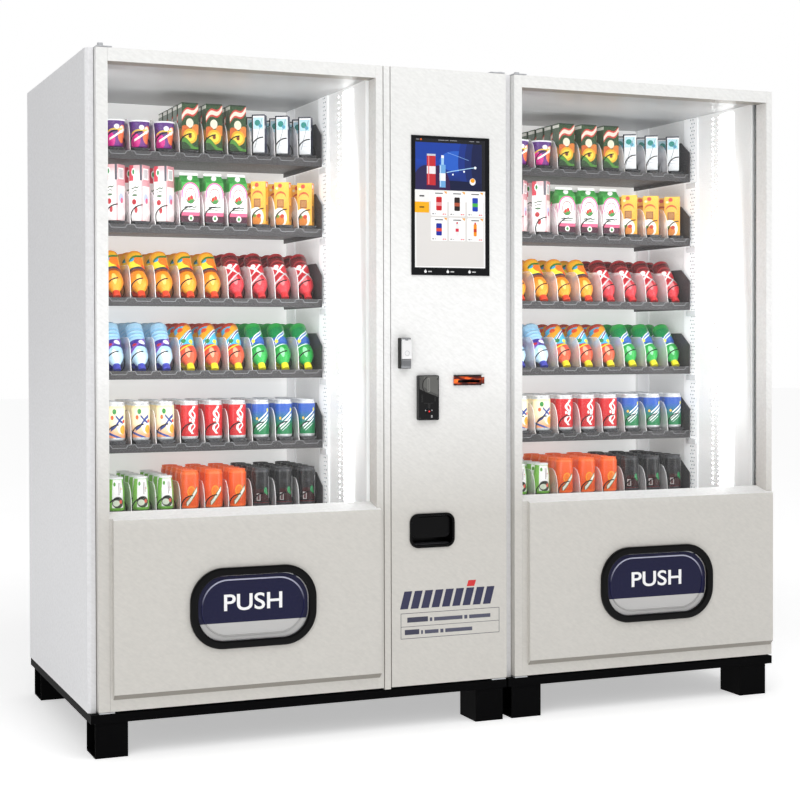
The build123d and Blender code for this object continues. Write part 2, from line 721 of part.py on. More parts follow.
LEVER_Y = (-HANDLE_PROUD, -HOUSING_PROUD - 1)
LEVER_HALF = 14
LEVER_Z = (1087, 1143)
LEVER_SLOT_HALF = TONGUE_HALF_WIDTH + 1
LEVER_SLOT_FRONT = -32
LEVER_SLOT_DROP = 9
with BuildPart() as door_handle:
    with BuildSketch(Plane.YZ.offset(LOCK_CENTRE[0] - LEVER_HALF)):
        with BuildLine():
            Polyline(
                (LEVER_Y[0] + 3, LEVER_Z[0]),
                (LEVER_Y[0], LEVER_Z[0] + 6),
                (LEVER_Y[0], LEVER_Z[1] - 12),
                (LEVER_Y[0] + 2, LEVER_Z[1] - 3),
                (LEVER_Y[0] + 5, LEVER_Z[1]),
                (LEVER_Y[1] - 4, LEVER_Z[1]),
                (LEVER_Y[1], LEVER_Z[1] - 9),
                (LEVER_Y[1], LEVER_Z[0]),
                close=True,
            )
        make_face()
    extrude(amount=2 * LEVER_HALF)
    slot_x = (LOCK_CENTRE[0] - LEVER_SLOT_HALF, LOCK_CENTRE[0] + LEVER_SLOT_HALF)
    slot_z = (LOCK_CENTRE[1] - LEVER_SLOT_DROP, LEVER_Z[1] + 1)
    block(slot_x, (LEVER_SLOT_FRONT, LEVER_Y[1] + 1), slot_z, mode=Mode.SUBTRACT)
    rod(HINGE_PIN, HINGE_PIN_RADIUS, 2 * LEVER_HALF, axis="X")
save(door_handle, "door_handle")

BUTTON_CAP_Y = (-31, -HOUSING_PROUD - 4)
STEM_Y = (-28, -2)
with BuildPart() as lock_button:
    block(LOCK_BUTTON_X, BUTTON_CAP_Y, LOCK_BUTTON_Z)
    stem_centre = (LOCK_STEM[0], sum(STEM_Y) / 2, LOCK_STEM[1])
    rod(stem_centre, LOCK_STEM_RADIUS, STEM_Y[1] - STEM_Y[0], axis="Y")
save(lock_button, "lock_button")

# Coin plate, its reject button, the banknote reader and the coin cup
PLATE_SIZE = (COIN_PLATE_X[1] - COIN_PLATE_X[0], COIN_PLATE_Z[1] - COIN_PLATE_Z[0])
PLATE_CENTRE = (sum(COIN_PLATE_X) / 2, sum(COIN_PLATE_Z) / 2)
PLATE_CORNER = 4
COIN_SLOT = (3.4, 35)
COIN_SLOT_MIDDLE = 1009.5
with BuildPart() as coin_plate:
    with BuildSketch(face_plane(-COIN_PLATE_PROUD)):
        with Locations(PLATE_CENTRE):
            RectangleRounded(*PLATE_SIZE, PLATE_CORNER)
        with Locations((PLATE_CENTRE[0], COIN_SLOT_MIDDLE)):
            Rectangle(*COIN_SLOT, mode=Mode.SUBTRACT)
        with Locations(COIN_BUTTON):
            Circle(COIN_BUTTON_RADIUS + PIN_CLEARANCE, mode=Mode.SUBTRACT)
    extrude(amount=-(COIN_PLATE_PROUD - SEAM))
save(coin_plate, "coin_plate")

COIN_BUTTON_Y = (-18, 2)
with BuildPart() as coin_return_button:
    button_centre = (COIN_BUTTON[0], sum(COIN_BUTTON_Y) / 2, COIN_BUTTON[1])
    rod(button_centre, COIN_BUTTON_RADIUS, COIN_BUTTON_Y[1] - COIN_BUTTON_Y[0], axis="Y")
save(coin_return_button, "coin_return_button")

READER_PROUD = 6
READER_RIM = 4
READER_BACK = 150
READER_MOUTH_X = (READER_X[0] + 12, READER_X[1] - 12)
READER_MOUTH_Z = (READER_Z[0] + 8, READER_Z[0] + 16)
READER_MOUTH_BACK = 60
with BuildPart() as banknote_reader:
    block(READER_X, (-READER_PROUD, -SEAM), READER_Z)
    body_x = (READER_X[0] + READER_RIM, READER_X[1] - READER_RIM)
    body_z = (READER_Z[0] + READER_RIM, READER_Z[1] - READER_RIM)
    block(body_x, (-SEAM, READER_BACK), body_z)
    mouth_y = (-READER_PROUD - 1, READER_MOUTH_BACK)
    block(READER_MOUTH_X, mouth_y, READER_MOUTH_Z, mode=Mode.SUBTRACT)
save(banknote_reader, "banknote_reader")

CUP_CENTRE = (sum(CUP_X) / 2, sum(CUP_Z) / 2)
CUP_SIZE = (CUP_X[1] - CUP_X[0], CUP_Z[1] - CUP_Z[0])
CUP_RIM = 7
CUP_PROUD = 6
CUP_MOUTH = (CUP_SIZE[0] - 2 * CUP_RIM, CUP_SIZE[1] - 2 * CUP_RIM)
CUP_WALL = 3
CHUTE_Y = (20, 50)
with BuildPart() as coin_cup:
    with BuildSketch(face_plane(-CUP_PROUD)):
        with Locations(CUP_CENTRE):
            RectangleRounded(*CUP_SIZE, CUP_RADIUS)
            RectangleRounded(*CUP_MOUTH, CUP_RADIUS - CUP_RIM, mode=Mode.SUBTRACT)
    extrude(amount=-(CUP_PROUD - SEAM))
    rim_y = (-CUP_PROUD - 1, 0)
    for x in (CUP_X[0] + CUP_RADIUS, CUP_X[1] - CUP_RADIUS):
        block((x, x + SEAM), rim_y, CUP_Z, mode=Mode.SUBTRACT)
    for z in (CUP_Z[0] + CUP_RADIUS, CUP_Z[1] - CUP_RADIUS):
        block(CUP_X, rim_y, (z, z + SEAM), mode=Mode.SUBTRACT)
    inner_x = (CUP_CENTRE[0] - CUP_MOUTH[0] / 2, CUP_CENTRE[0] + CUP_MOUTH[0] / 2)
    inner_z = (CUP_CENTRE[1] - CUP_MOUTH[1] / 2, CUP_CENTRE[1] + CUP_MOUTH[1] / 2)
    wall_y = (CONTROL_SKIN + SEAM, CUP_DEPTH - CUP_WALL - SEAM)
    block((inner_x[0] - CUP_WALL, inner_x[0]), wall_y, inner_z)
    block((inner_x[1], inner_x[1] + CUP_WALL), wall_y, inner_z)
    floor_x = (inner_x[0] - CUP_WALL, inner_x[1] + CUP_WALL)
    block(floor_x, wall_y, (inner_z[0] - SEAM - CUP_WALL, inner_z[0] - SEAM))
    top_z = (inner_z[1] + SEAM, inner_z[1] + SEAM + CUP_WALL)
    block(floor_x, (wall_y[0], CHUTE_Y[0]), top_z)
    block(floor_x, (CHUTE_Y[1], wall_y[1]), top_z)
    block(floor_x, (CUP_DEPTH - CUP_WALL, CUP_DEPTH), inner_z)
save(coin_cup, "coin_cup")

CUP_FLAP_SIZE = (CUP_MOUTH[0] - 3, 64)
CUP_FLAP_TOP = CUP_Z[1] - CUP_RIM - 2
CUP_FLAP_FRONT = 8
CUP_FLAP_THICK = 2.5
CUP_ROD_DROP = 4
CUP_ROD_LENGTH = 76
with BuildPart() as coin_cup_flap:
    with BuildSketch(face_plane(CUP_FLAP_FRONT)):
        with Locations((CUP_CENTRE[0], CUP_FLAP_TOP - CUP_FLAP_SIZE[1] / 2)):
            RectangleRounded(*CUP_FLAP_SIZE, CUP_RADIUS - CUP_RIM)
    extrude(amount=-CUP_FLAP_THICK)
    rod_y = CUP_FLAP_FRONT + CUP_FLAP_THICK / 2
    rod((CUP_CENTRE[0], rod_y, CUP_FLAP_TOP - CUP_ROD_DROP), CUP_FLAP_THICK, CUP_ROD_LENGTH, axis="X")
save(coin_cup_flap, "coin_cup_flap")

MECHANISM_X = (962, 1043)
MECHANISM_Y = (46, 130)
MECHANISM_Z = (660, 1030)
CHUTE_X = (980, 1024)
CHUTE_Z = (650, 900)
with BuildPart() as coin_mechanism:
    block(MECHANISM_X, MECHANISM_Y, MECHANISM_Z)
    block(CHUTE_X, (CONTROL_SKIN + 1, MECHANISM_Y[0] - SEAM), CHUTE_Z)
save(coin_mechanism, "coin_mechanism")

# Controller box at the back of the control compartment, and the power inlet in the back panel
BOX_X = (905, 1215)
BOX_Y = (760, 880)
BOX_Z = (1000, 1500)
with BuildPart() as control_box:
    block(BOX_X, BOX_Y, BOX_Z)
save(control_box, "control_box")

INLET_FRONT = 875
INLET_RIM = 12
INLET_WELL = 18
PRONG_OFFSETS = ((-7, -2), (7, -2), (0, 5))
PRONG_HALF_WIDTH = 1
PRONG_HALF_HEIGHT = 3
PRONG_END = DEPTH - 5
with BuildPart() as power_inlet:
    right = MAIN.sides[1] - SIDE_THICK - 2 * SEAM
    left = right - GRILLE_INSET + 3 * SEAM
    well = DEPTH - 1 - INLET_WELL
    well_y = (well + SEAM, DEPTH - 1)
    socket_z = (INLET_Z[0] + INLET_RIM, INLET_Z[1] - INLET_RIM)
    block((left, right), (INLET_FRONT, well), INLET_Z)
    block((left, left + INLET_RIM), well_y, INLET_Z)
    block((right - INLET_RIM, right), well_y, INLET_Z)
    between_x = (left + INLET_RIM + SEAM, right - INLET_RIM - SEAM)
    block(between_x, well_y, (INLET_Z[0], socket_z[0]))
    block(between_x, well_y, (socket_z[1], INLET_Z[1]))
    for across, up in PRONG_OFFSETS:
        x = (left + right) / 2 + across
        z = sum(INLET_Z) / 2 + up
        prong_x = (x - PRONG_HALF_WIDTH, x + PRONG_HALF_WIDTH)
        prong_z = (z - PRONG_HALF_HEIGHT, z + PRONG_HALF_HEIGHT)
        block(prong_x, (well_y[0], PRONG_END), prong_z)
save(power_inlet, "power_inlet")


# Product trays, counted from the top
def tray(unit, bottom):
    left, right = unit.tray
    front, back = TRAY_Y
    inner = (left + TRAY_SHEET + SEAM, right - TRAY_SHEET - SEAM)
    with BuildPart() as pan:
        block(inner, (front, front + TRAY_SHEET), (bottom, bottom + TRAY_LIP))
        block(inner, (front + TRAY_SHEET + SEAM, back), (bottom + TRAY_FLOOR[0], bottom + TRAY_FLOOR[1]))
        rail_bottom = bottom + TRAY_FLOOR[1] + SEAM
        block(inner, MOTOR_RAIL_Y, (rail_bottom, rail_bottom + MOTOR_RAIL_HEIGHT))
        for plate_left in (left, right - TRAY_SHEET):
            with BuildSketch(Plane.YZ.offset(plate_left)):
                with BuildLine():
                    Polyline(
                        (front, bottom),
                        (front, bottom + TRAY_SIDE_FRONT),
                        (front + TRAY_SIDE_SLOPE, bottom + TRAY_SIDE_HEIGHT),
                        (back, bottom + TRAY_SIDE_HEIGHT),
                        (back, bottom),
                        close=True,
                    )
                make_face()
            extrude(amount=TRAY_SHEET)
    return pan


for unit in UNITS:
    for number, bottom in enumerate(tray_bottoms, start=1):
        save(tray(unit, bottom), f"{unit.name}_tray_{number}")


# Spirals: a round wire helix on a hub that its motor turns, its front end at twelve o'clock
def spiral(lane):
    left, right = MAIN.tray
    x = left + (right - left) / LANES * (lane - 0.5)
    z = tray_bottoms[0] + TRAY_FLOOR[1] + SPIRAL_RADIUS + SPIRAL_WIRE + 1
    length = SPIRAL_PITCH * SPIRAL_TURNS
    back = SPIRAL_FRONT + length
    with BuildPart() as wire:
        with BuildLine() as path:
            Helix(
                SPIRAL_PITCH,
                length,
                SPIRAL_RADIUS,
                center=(x, SPIRAL_FRONT, z),
                direction=(0, 1, 0),
                lefthand=True,
            )
        with BuildSketch(Plane(origin=path.line @ 0, z_dir=path.line % 0)):
            Circle(SPIRAL_WIRE)
        sweep(path=path.line, is_frenet=True)
        rod((x, back, z + SPIRAL_RADIUS / 2), SPIRAL_ARM_RADIUS, SPIRAL_RADIUS)
        rod((x, back + SPIRAL_HUB_OFFSET, z), SPIRAL_HUB_RADIUS, SPIRAL_HUB_LENGTH, axis="Y")
    return wire


for lane in range(1, SPIRAL_COUNT + 1):
    save(spiral(lane), f"main_spiral_{lane}")
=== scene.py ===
"""Looks of the snack vending machine: materials for its CAD nodes, and the small pieces that ride on them."""

import math

import bpy
from mathutils import Matrix, Vector


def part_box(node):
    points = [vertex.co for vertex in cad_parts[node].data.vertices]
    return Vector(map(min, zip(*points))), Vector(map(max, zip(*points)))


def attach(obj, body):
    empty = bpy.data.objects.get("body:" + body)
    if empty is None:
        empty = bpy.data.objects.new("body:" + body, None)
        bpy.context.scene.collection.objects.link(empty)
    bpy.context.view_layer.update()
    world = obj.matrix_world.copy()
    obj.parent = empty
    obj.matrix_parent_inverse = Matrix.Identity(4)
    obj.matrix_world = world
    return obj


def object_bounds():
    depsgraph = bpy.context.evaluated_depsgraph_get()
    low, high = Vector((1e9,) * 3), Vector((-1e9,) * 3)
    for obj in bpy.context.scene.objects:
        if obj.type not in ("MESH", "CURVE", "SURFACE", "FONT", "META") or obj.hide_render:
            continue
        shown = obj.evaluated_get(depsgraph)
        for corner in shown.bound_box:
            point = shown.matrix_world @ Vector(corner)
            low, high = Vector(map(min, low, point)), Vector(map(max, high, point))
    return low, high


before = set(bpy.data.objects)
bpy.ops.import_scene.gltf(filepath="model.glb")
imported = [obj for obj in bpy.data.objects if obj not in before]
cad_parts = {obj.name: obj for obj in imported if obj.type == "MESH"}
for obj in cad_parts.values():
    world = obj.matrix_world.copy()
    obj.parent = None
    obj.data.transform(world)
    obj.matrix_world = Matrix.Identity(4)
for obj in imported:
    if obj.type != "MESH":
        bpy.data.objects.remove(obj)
cad_low, cad_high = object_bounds()

MM = 0.001
UNITS = ("main", "side")
TRAYS = range(1, 7)
LANES = 10
CAD_SPIRALS = 5
LANE_PITCH = 0.0761  # the main cabinet's lanes, which the goods are drawn for


def rgb(code):
    """A colour written 0xRRGGBB, as linear values for a shader."""
    channels = [(code >> shift & 255) / 255 for shift in (16, 8, 0)]
    return tuple(c / 12.92 if c <= 0.04045 else ((c + 0.055) / 1.055) ** 2.4 for c in channels)


# Materials ------------------------------------------------------------------------------------------


class Tree:
    """A new material with a Principled shader, and short ways to add nodes to it."""

    def __init__(self, name):
        self.material = bpy.data.materials.new(name)
        self.material.use_nodes = True
        self.nodes = self.material.node_tree.nodes
        self.links = self.material.node_tree.links
        self.shader = self.nodes["Principled BSDF"]
        self.coords = self.nodes.new("ShaderNodeTexCoord")

    def put(self, socket, value):
        """Links a socket, or sets a number or a colour on it."""
        if isinstance(value, bpy.types.NodeSocket):
            self.links.new(value, socket)
        elif isinstance(value, tuple) and len(value) == 3 and socket.type == "RGBA":
            socket.default_value = (*value, 1)
        else:
            socket.default_value = value

    def set(self, name, value):
        """Links or sets an input of the shader."""
        self.put(self.shader.inputs[name], value)

    def calc(self, operation, a, b=0.0, c=0.0, clamp=False):
        node = self.nodes.new("ShaderNodeMath")
        node.operation = operation
        node.use_clamp = clamp
        for socket, value in zip(node.inputs, (a, b, c)):
            self.put(socket, value)
        return node.outputs[0]

    def times(self, a, b, **more):
        return self.calc("MULTIPLY", a, b, **more)

    def fit(self, value, gain, shift, **more):
        """The value times its gain, plus a shift."""
        return self.calc("MULTIPLY_ADD", value, gain, shift, **more)

    def ramp(self, value, start, end):
        """Grows from nothing at start to one at end."""
        return self.fit(value, 1 / (end - start), -start / (end - start), clamp=True)

    def mix(self, factor, a, b):
        node = self.nodes.new("ShaderNodeMix")
        node.data_type = "RGBA"
        self.put(node.inputs["Factor"], factor)
        self.put(node.inputs[6], a)
        self.put(node.inputs[7], b)
        return node.outputs[2]

    def noise(self, scale, detail=2.0, stretch=(1, 1, 1), turn=0.0):
        mapping = self.nodes.new("ShaderNodeMapping")
        mapping.vector_type = "TEXTURE" if turn else "POINT"
        mapping.inputs["Rotation"].default_value = (0, turn, 0)
        mapping.inputs["Scale"].default_value = stretch
        self.links.new(self.coords.outputs["Object"], mapping.inputs["Vector"])
        node = self.nodes.new("ShaderNodeTexNoise")
        node.inputs["Scale"].default_value = scale
        node.inputs["Detail"].default_value = detail
        self.links.new(mapping.outputs[0], node.inputs["Vector"])
        return node.outputs[0]

    def split(self, vector):
        node = self.nodes.new("ShaderNodeSeparateXYZ")
        self.links.new(vector, node.inputs[0])
        return node.outputs

    def axis(self, letter):
        return self.split(self.coords.outputs["Object"])[letter]

    def facing(self, letter):
        """How far the surface itself faces along an axis of the machine."""
        geometry = self.nodes.new("ShaderNodeNewGeometry")
        return self.split(geometry.outputs["True Normal"])[letter]

    def bump(self, height, strength, distance):
        node = self.nodes.new("ShaderNodeBump")
        node.inputs["Strength"].default_value = strength
        node.inputs["Distance"].default_value = distance
        self.links.new(height, node.inputs["Height"])
        self.links.new(node.outputs[0], self.shader.inputs["Normal"])

    def uneven(self, name, middle, spread, noise):
        """Drives a shader input by noise about its middle value."""
        self.set(name, self.fit(noise, 2 * spread, middle - spread))


def finish_of(tree, colour, rough, grain, depth, tone=0.04, spread=0.06, stretch=(1, 1, 1)):
    """Slow colour change, uneven roughness and a fine grain, whose height in mm is depth."""
    slow = tree.noise(3.0, 3.0)
    fine = tree.noise(grain, 2.0, stretch)
    if isinstance(colour, bpy.types.NodeSocket):
        dark = tree.mix(tone, colour, (0.0, 0.0, 0.0))
        tree.set("Base Color", tree.mix(slow, dark, colour))
    else:
        low = tuple(c * (1 - tone) for c in colour)
        high = tuple(min(c * (1 + tone), 1.0) for c in colour)
        tree.set("Base Color", tree.mix(slow, low, high))
    tree.uneven("Roughness", rough, spread, fine)
    tree.bump(fine, 0.5, depth * MM)
    return tree.material


def surface(
    name, colour, rough=0.4, grain=500.0, depth=0.05, metallic=0.0, coat=0.0, shine=0.5, glow=0.0, **more
):
    tree = Tree(name)
    tree.set("Emission Color", colour)
    tree.set("Emission Strength", glow)
    tree.set("Specular IOR Level", shine)
    tree.set("Metallic", metallic)
    tree.set("Coat Weight", coat)
    tree.set("Coat Roughness", 0.08)
    return finish_of(tree, colour, rough, grain, depth, **more)


def powder_coat(name, colour, painted_shade_colour=None):
    """Orange-peel powder coat. With a second colour, it carries painted light: a warmer painted shade below
    waist height, a painted highlight above it that fades to the plain colour by 1.75 m, painted shade on
    faces that look down and a painted highlight on faces that look up.
    """
    tree = Tree(name)
    if painted_shade_colour:
        # Painted shade below waist height, and a painted highlight above it up to 1.25 m that fades out by
        # 1.75 m.
        rise = tree.ramp(tree.axis("Z"), 0.62, 1.07)
        head = tree.ramp(tree.axis("Z"), 1.25, 1.75)
        colour = tree.mix(rise, painted_shade_colour, tree.mix(head, rgb(0xFCFCFB), colour))
        # Painted shade on faces that look down; painted highlight on faces that look up.
        colour = tree.mix(tree.calc("LESS_THAN", tree.facing("Z"), -0.3), colour, rgb(0x8F8A82))
        colour = tree.mix(tree.calc("GREATER_THAN", tree.facing("Z"), 0.2), colour, rgb(0xFCFCFB))
    peel = tree.noise(110.0, 3.0, (0.7, 1, 1.3))
    weave = tree.noise(95.0, 1.5, (2.2, 1, 0.6), turn=0.6)
    slow = tree.noise(2.0, 2.0)
    mottle = tree.fit(weave, 0.22, tree.fit(slow, 0.05, -0.18))
    shade = tree.fit(peel, 0.22, mottle, clamp=True)
    tree.set("Base Color", tree.mix(shade, colour, (0.30, 0.30, 0.29)))
    tree.uneven("Roughness", 0.42, 0.10, peel)
    tree.set("Specular IOR Level", 0.4)
    tree.bump(tree.fit(weave, 0.7, peel), 0.6, 0.5 * MM)
    return tree.material


def glowing(name, colour, strength, variation=0.05):
    tree = Tree(name)
    tree.set("Base Color", colour)
    tree.set("Roughness", 0.3)
    glow = tree.mix(tree.noise(60.0), colour, tuple(c * (1 - variation) for c in colour))
    tree.set("Emission Color", glow)
    tree.set("Emission Strength", strength)
    return tree.material


def clear(name, tint, haze, haze_colour, rough=0.05, gloss=0.6):
    """A clear sheet: mostly see-through, some haze, and gloss by the angle it is seen at."""
    tree = Tree(name)
    scratches = tree.noise(240.0, 2.0, (1, 1, 0.2))
    tree.set("Base Color", haze_colour)
    tree.uneven("Roughness", rough + 0.1, 0.05, scratches)
    see_through = tree.nodes.new("ShaderNodeBsdfTransparent")
    see_through.inputs["Color"].default_value = (*tint, 1)
    fresnel = tree.nodes.new("ShaderNodeFresnel")
    fresnel.inputs["IOR"].default_value = 1.45
    mixer = tree.nodes.new("ShaderNodeMixShader")
    cover = tree.fit(fresnel.outputs[0], gloss, haze, clamp=True)
    cover = tree.fit(scratches, 0.02, cover, clamp=True)
    tree.put(mixer.inputs[0], cover)
    tree.links.new(see_through.outputs[0], mixer.inputs[1])
    tree.links.new(tree.shader.outputs[0], mixer.inputs[2])
    tree.links.new(mixer.outputs[0], tree.nodes["Material Output"].inputs["Surface"])
    return tree.material


PAINTED_STRIP_GLOW = 0.16  # how strongly the goods glow: painted light standing in for the strips washing over what stands between them


class Art(Tree):
    """A printed surface: layers over a ground colour, placed by how far round and how far up it they are. By
    default it glows a little, as painted light from the strips; in the bottles' prints one small light oval
    is a painted highlight.
    """

    def __init__(self, name, ground, layers, rough=0.3, glow=PAINTED_STRIP_GLOW):
        super().__init__(name)
        uv = self.nodes.new("ShaderNodeUVMap")
        uv.uv_map = "art"
        self.u, self.v, _ = self.split(uv.outputs[0])
        colour = rgb(ground)
        for cover, numbers, code in layers:
            colour = self.mix(cover(self, *numbers), colour, rgb(code))
        self.set("Coat Weight", 0.3)
        self.set("Emission Color", colour)
        self.set("Emission Strength", glow)
        finish_of(self, colour, rough, 700.0, 0.02, tone=0.05)

    def between(self, value, low, high):
        return self.times(self.calc("GREATER_THAN", value, low), self.calc("LESS_THAN", value, high))

    def box(self, u0, u1, v0, v1):
        return self.times(self.between(self.u, u0, u1), self.between(self.v, v0, v1))

    def oval(self, u, v, ru, rv):
        across = self.calc("DIVIDE", self.calc("SUBTRACT", self.u, u), ru)
        up = self.calc("DIVIDE", self.calc("SUBTRACT", self.v, v), rv)
        away = self.fit(across, across, self.times(up, up))
        return self.calc("LESS_THAN", away, 1.0)

    def wave(self, v, slope, swing, turns, half, u0=0.0, u1=1.0):
        """A ribbon that runs across from u0 to u1, sloping and swinging about v."""
        angle = self.times(self.u, math.tau * turns)
        middle = self.fit(self.calc("SINE", angle), swing, v)
        slant = self.times(self.calc("SUBTRACT", self.u, 0.5), slope)
        middle = self.calc("ADD", middle, slant)
        off = self.calc("ABSOLUTE", self.calc("SUBTRACT", self.v, middle))
        return self.times(self.calc("LESS_THAN", off, half), self.between(self.u, u0, u1))

    def column(self, u, slope, swing, turns, half, v0=0.0, v1=1.0):
        """A ribbon that runs upwards from v0 to v1, leaning and swinging about u."""
        angle = self.times(self.v, math.tau * turns)
        middle = self.fit(self.calc("SINE", angle), swing, u)
        lean = self.times(self.calc("SUBTRACT", self.v, 0.5), slope)
        middle = self.calc("ADD", middle, lean)
        off = self.calc("ABSOLUTE", self.calc("SUBTRACT", self.u, middle))
        return self.times(self.calc("LESS_THAN", off, half), self.between(self.v, v0, v1))

    def fade(self, v0, v1):
        return self.ramp(self.v, v0, v1)


def layer(cover):
    """A short call for one kind of layer, which takes the numbers in hundredths and then the colour."""

    def call(*values):
        return cover, [value / 100 for value in values[:-1]], values[-1]

    return call


box, oval, wave, column, fade = map(layer, (Art.box, Art.oval, Art.wave, Art.column, Art.fade))


def art(name, ground, *layers, **more):
    return Art(name, ground, layers, **more).material


# Shapes ---------------------------------------------------------------------------------------------


class Shape:
    """Points and faces of one piece. Each face has a material number and its place on the artwork."""

    def __init__(self):
        self.points, self.faces, self.marks, self.art = [], [], [], []

    def face(self, corners, mark=0, places=None):
        """corners are numbers of points. places are their spots on the artwork, or else its middle."""
        self.faces.append(list(corners))
        self.marks.append(mark)
        self.art.append(places or [(0.5, 0.5)] * len(corners))

    def band(self, low, high, count, mark=0, places=None):
        """Four-sided faces between two rings of points. places has the corners' spots for each face."""
        for step in range(count):
            after = (step + 1) % count
            corners = (low + step, low + after, high + after, high + step)
            self.face(corners, mark, places and places[step])

    def join(self, other, matrix):
        start = len(self.points)
        self.points += [matrix @ p for p in other.points]
        self.faces += [[start + i for i in face] for face in other.faces]
        self.marks += other.marks
        self.art += other.art

    def box(self, low, high, mark=0, sides=None):
        """sides has material numbers for the front and back, the left and right, and the top and bottom."""
        x, y, z = zip(low, high)
        corners = [(x[i], y[j], z[k]) for k in (0, 1) for j in (0, 1) for i in (0, 1)]
        quads = ((0, 1, 5, 4), (3, 2, 6, 7), (2, 0, 4, 6), (1, 3, 7, 5), (4, 5, 7, 6), (2, 3, 1, 0))
        for index, quad in enumerate(quads):
            start = len(self.points)
            self.points += [Vector(corners[i]) for i in quad]
            number = sides[index // 2] if sides else mark
            self.face(range(start, start + 4), number, [(0, 0), (1, 0), (1, 1), (0, 1)])

    def lathe(self, profile, marks, segments=20, span=None):
        """Turns (radius, height) points about Z. marks has one material number for each band."""
        bottom, top = span or (profile[0][1], profile[-1][1])
        start = len(self.points)
        for radius, height in profile:
            for step in range(segments):
                angle = math.tau * step / segments
                self.points.append(Vector((-radius * math.sin(angle), radius * math.cos(angle), height)))
        heights = [(height - bottom) / (top - bottom) for _, height in profile]
        rims = [start + number * segments for number in range(len(profile))]
        for number, mark in enumerate(marks):
            v0, v1 = heights[number : number + 2]
            spots = [(step / segments, (step + 1) / segments) for step in range(segments)]
            places = [[(u0, v0), (u1, v0), (u1, v1), (u0, v1)] for u0, u1 in spots]
            self.band(rims[number], rims[number + 1], segments, mark, places)
        for number, order in ((0, -1), (-1, 1)):
            corners = range(rims[number], rims[number] + segments)[::order]
            self.face(corners, marks[number], [(0.5, heights[number])] * segments)

    def prism(self, outline, low, high, axis="Y", mark=0):
        """A flat outline, anticlockwise as seen from low, drawn out between two values of one axis."""
        count, start = len(outline), len(self.points)
        for level in (low, high):
            for a, b in outline:
                self.points.append(Vector({"X": (level, a, b), "Y": (a, level, b), "Z": (a, b, level)}[axis]))
        us, vs = zip(*outline)
        wide, tall = max(us) - min(us) or 1, max(vs) - min(vs) or 1
        places = [((a - min(us)) / wide, (b - min(vs)) / tall) for a, b in outline]
        self.face(range(start, start + count), mark, places)
        self.face(range(start + count, start + 2 * count)[::-1], mark, places[::-1])
        for i in range(count):
            j = (i + 1) % count
            corners = (start + i, start + count + i, start + count + j, start + j)
            self.face(corners, mark, [places[i], places[i], places[j], places[j]])

    def tube(self, path, radius, sides=6, mark=0, closed=False):
        """A round bar along a path, whose cross-sections lie across it."""
        path = [Vector(p) for p in path]
        count, start = len(path), len(self.points)
        side = None
        for i, point in enumerate(path):
            ahead = path[(i + 1) % count] if closed or i < count - 1 else point
            behind = path[i - 1] if closed or i else point
            along = (ahead - behind).normalized()
            if side is None:
                side = along.orthogonal().normalized()
            side = (side - along * side.dot(along)).normalized()
            other = along.cross(side)
            for step in range(sides):
                angle = math.tau * step / sides
                self.points.append(point + radius * (math.cos(angle) * side + math.sin(angle) * other))
        rims = [start + i * sides for i in range(count)]
        ends = rims[1:] + rims[:1] if closed else rims[1:]
        for low, high in zip(rims, ends):
            self.band(low, high, sides, mark)
        if not closed:
            for rim, order in ((rims[0], -1), (rims[-1], 1)):
                self.face(range(rim, rim + sides)[::order], mark)


def show(name, shape, materials, body, bevel=0.0, sharp=35):
    """Makes the piece, smooth but for its sharp edges, and has it ride on a body."""
    mesh = bpy.data.meshes.new(name)
    mesh.from_pydata(shape.points, [], shape.faces)
    for material in materials:
        mesh.materials.append(material)
    mesh.polygons.foreach_set("material_index", shape.marks)
    places = mesh.uv_layers.new(name="art")
    places.data.foreach_set("uv", [value for face in shape.art for place in face for value in place])
    mesh.shade_smooth()
    mesh.set_sharp_from_angle(angle=math.radians(sharp))
    piece = bpy.data.objects.new(name, mesh)
    bpy.context.scene.collection.objects.link(piece)
    if bevel:
        rounding = piece.modifiers.new("rounding", "BEVEL")
        rounding.width = bevel
        rounding.segments = 2
        rounding.limit_method = "ANGLE"
    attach(piece, body)
    return piece


def rounded(width, height, radius, centre=(0, 0), steps=8):
    """The outline of a rectangle with round corners, anticlockwise."""
    outline = []
    for corner, (sx, sz) in enumerate(((1, -1), (1, 1), (-1, 1), (-1, -1))):
        for step in range(steps + 1):
            angle = math.radians(-90 + 90 * corner + 90 * step / steps)
            x = sx * (width / 2 - radius) + radius * math.cos(angle)
            z = sz * (height / 2 - radius) + radius * math.sin(angle)
            outline.append((centre[0] + x, centre[1] + z))
    return outline


def disc(radius, centre, steps=10):
    angles = [math.tau * step / steps for step in range(steps)]
    return [(centre[0] + radius * math.cos(a), centre[1] + radius * math.sin(a)) for a in angles]


def rect(x0, x1, z0, z1):
    return [(x0, z0), (x1, z0), (x1, z1), (x0, z1)]


# Materials of the CAD nodes ------------------------------------------------------------------------

# The second colour is painted shade on the doors' lower part; the paint also carries a painted highlight
# band.
door_white = powder_coat("door_white", rgb(0xECECEA), rgb(0xD2CFC9))
side_grey = powder_coat("side_grey", rgb(0xE9E9EB))


def lit_wall():
    """White sheet with painted light: its upright faces glow, down to just below the trays, standing in for
    the strips washing them with light, and its other faces are a darker grey as painted shade.
    """
    tree = Tree("liner_white")
    low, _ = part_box("light_strips")
    upright = tree.calc("LESS_THAN", tree.calc("ABSOLUTE", tree.facing("Z")), 0.5)
    painted_glow_mask = tree.times(upright, tree.calc("GREATER_THAN", tree.axis("Z"), low.z - 0.06))
    # The rear wall glows more than the side walls: stronger painted light there.
    rear = tree.calc("LESS_THAN", tree.facing("Y"), -0.5)
    level = tree.fit(tree.noise(5.0), 0.1, tree.fit(rear, 0.32, 0.15))
    level = tree.times(painted_glow_mask, level)
    tree.set("Emission Color", (1.0, 0.985, 0.98, 1))
    tree.set("Emission Strength", level)
    # Faces that are not upright, such as the ceiling, take the darker grey as painted shade.
    return finish_of(tree, tree.mix(upright, rgb(0xB2B2B3), rgb(0xE4E4E5)), 0.35, 300.0, 0.04)


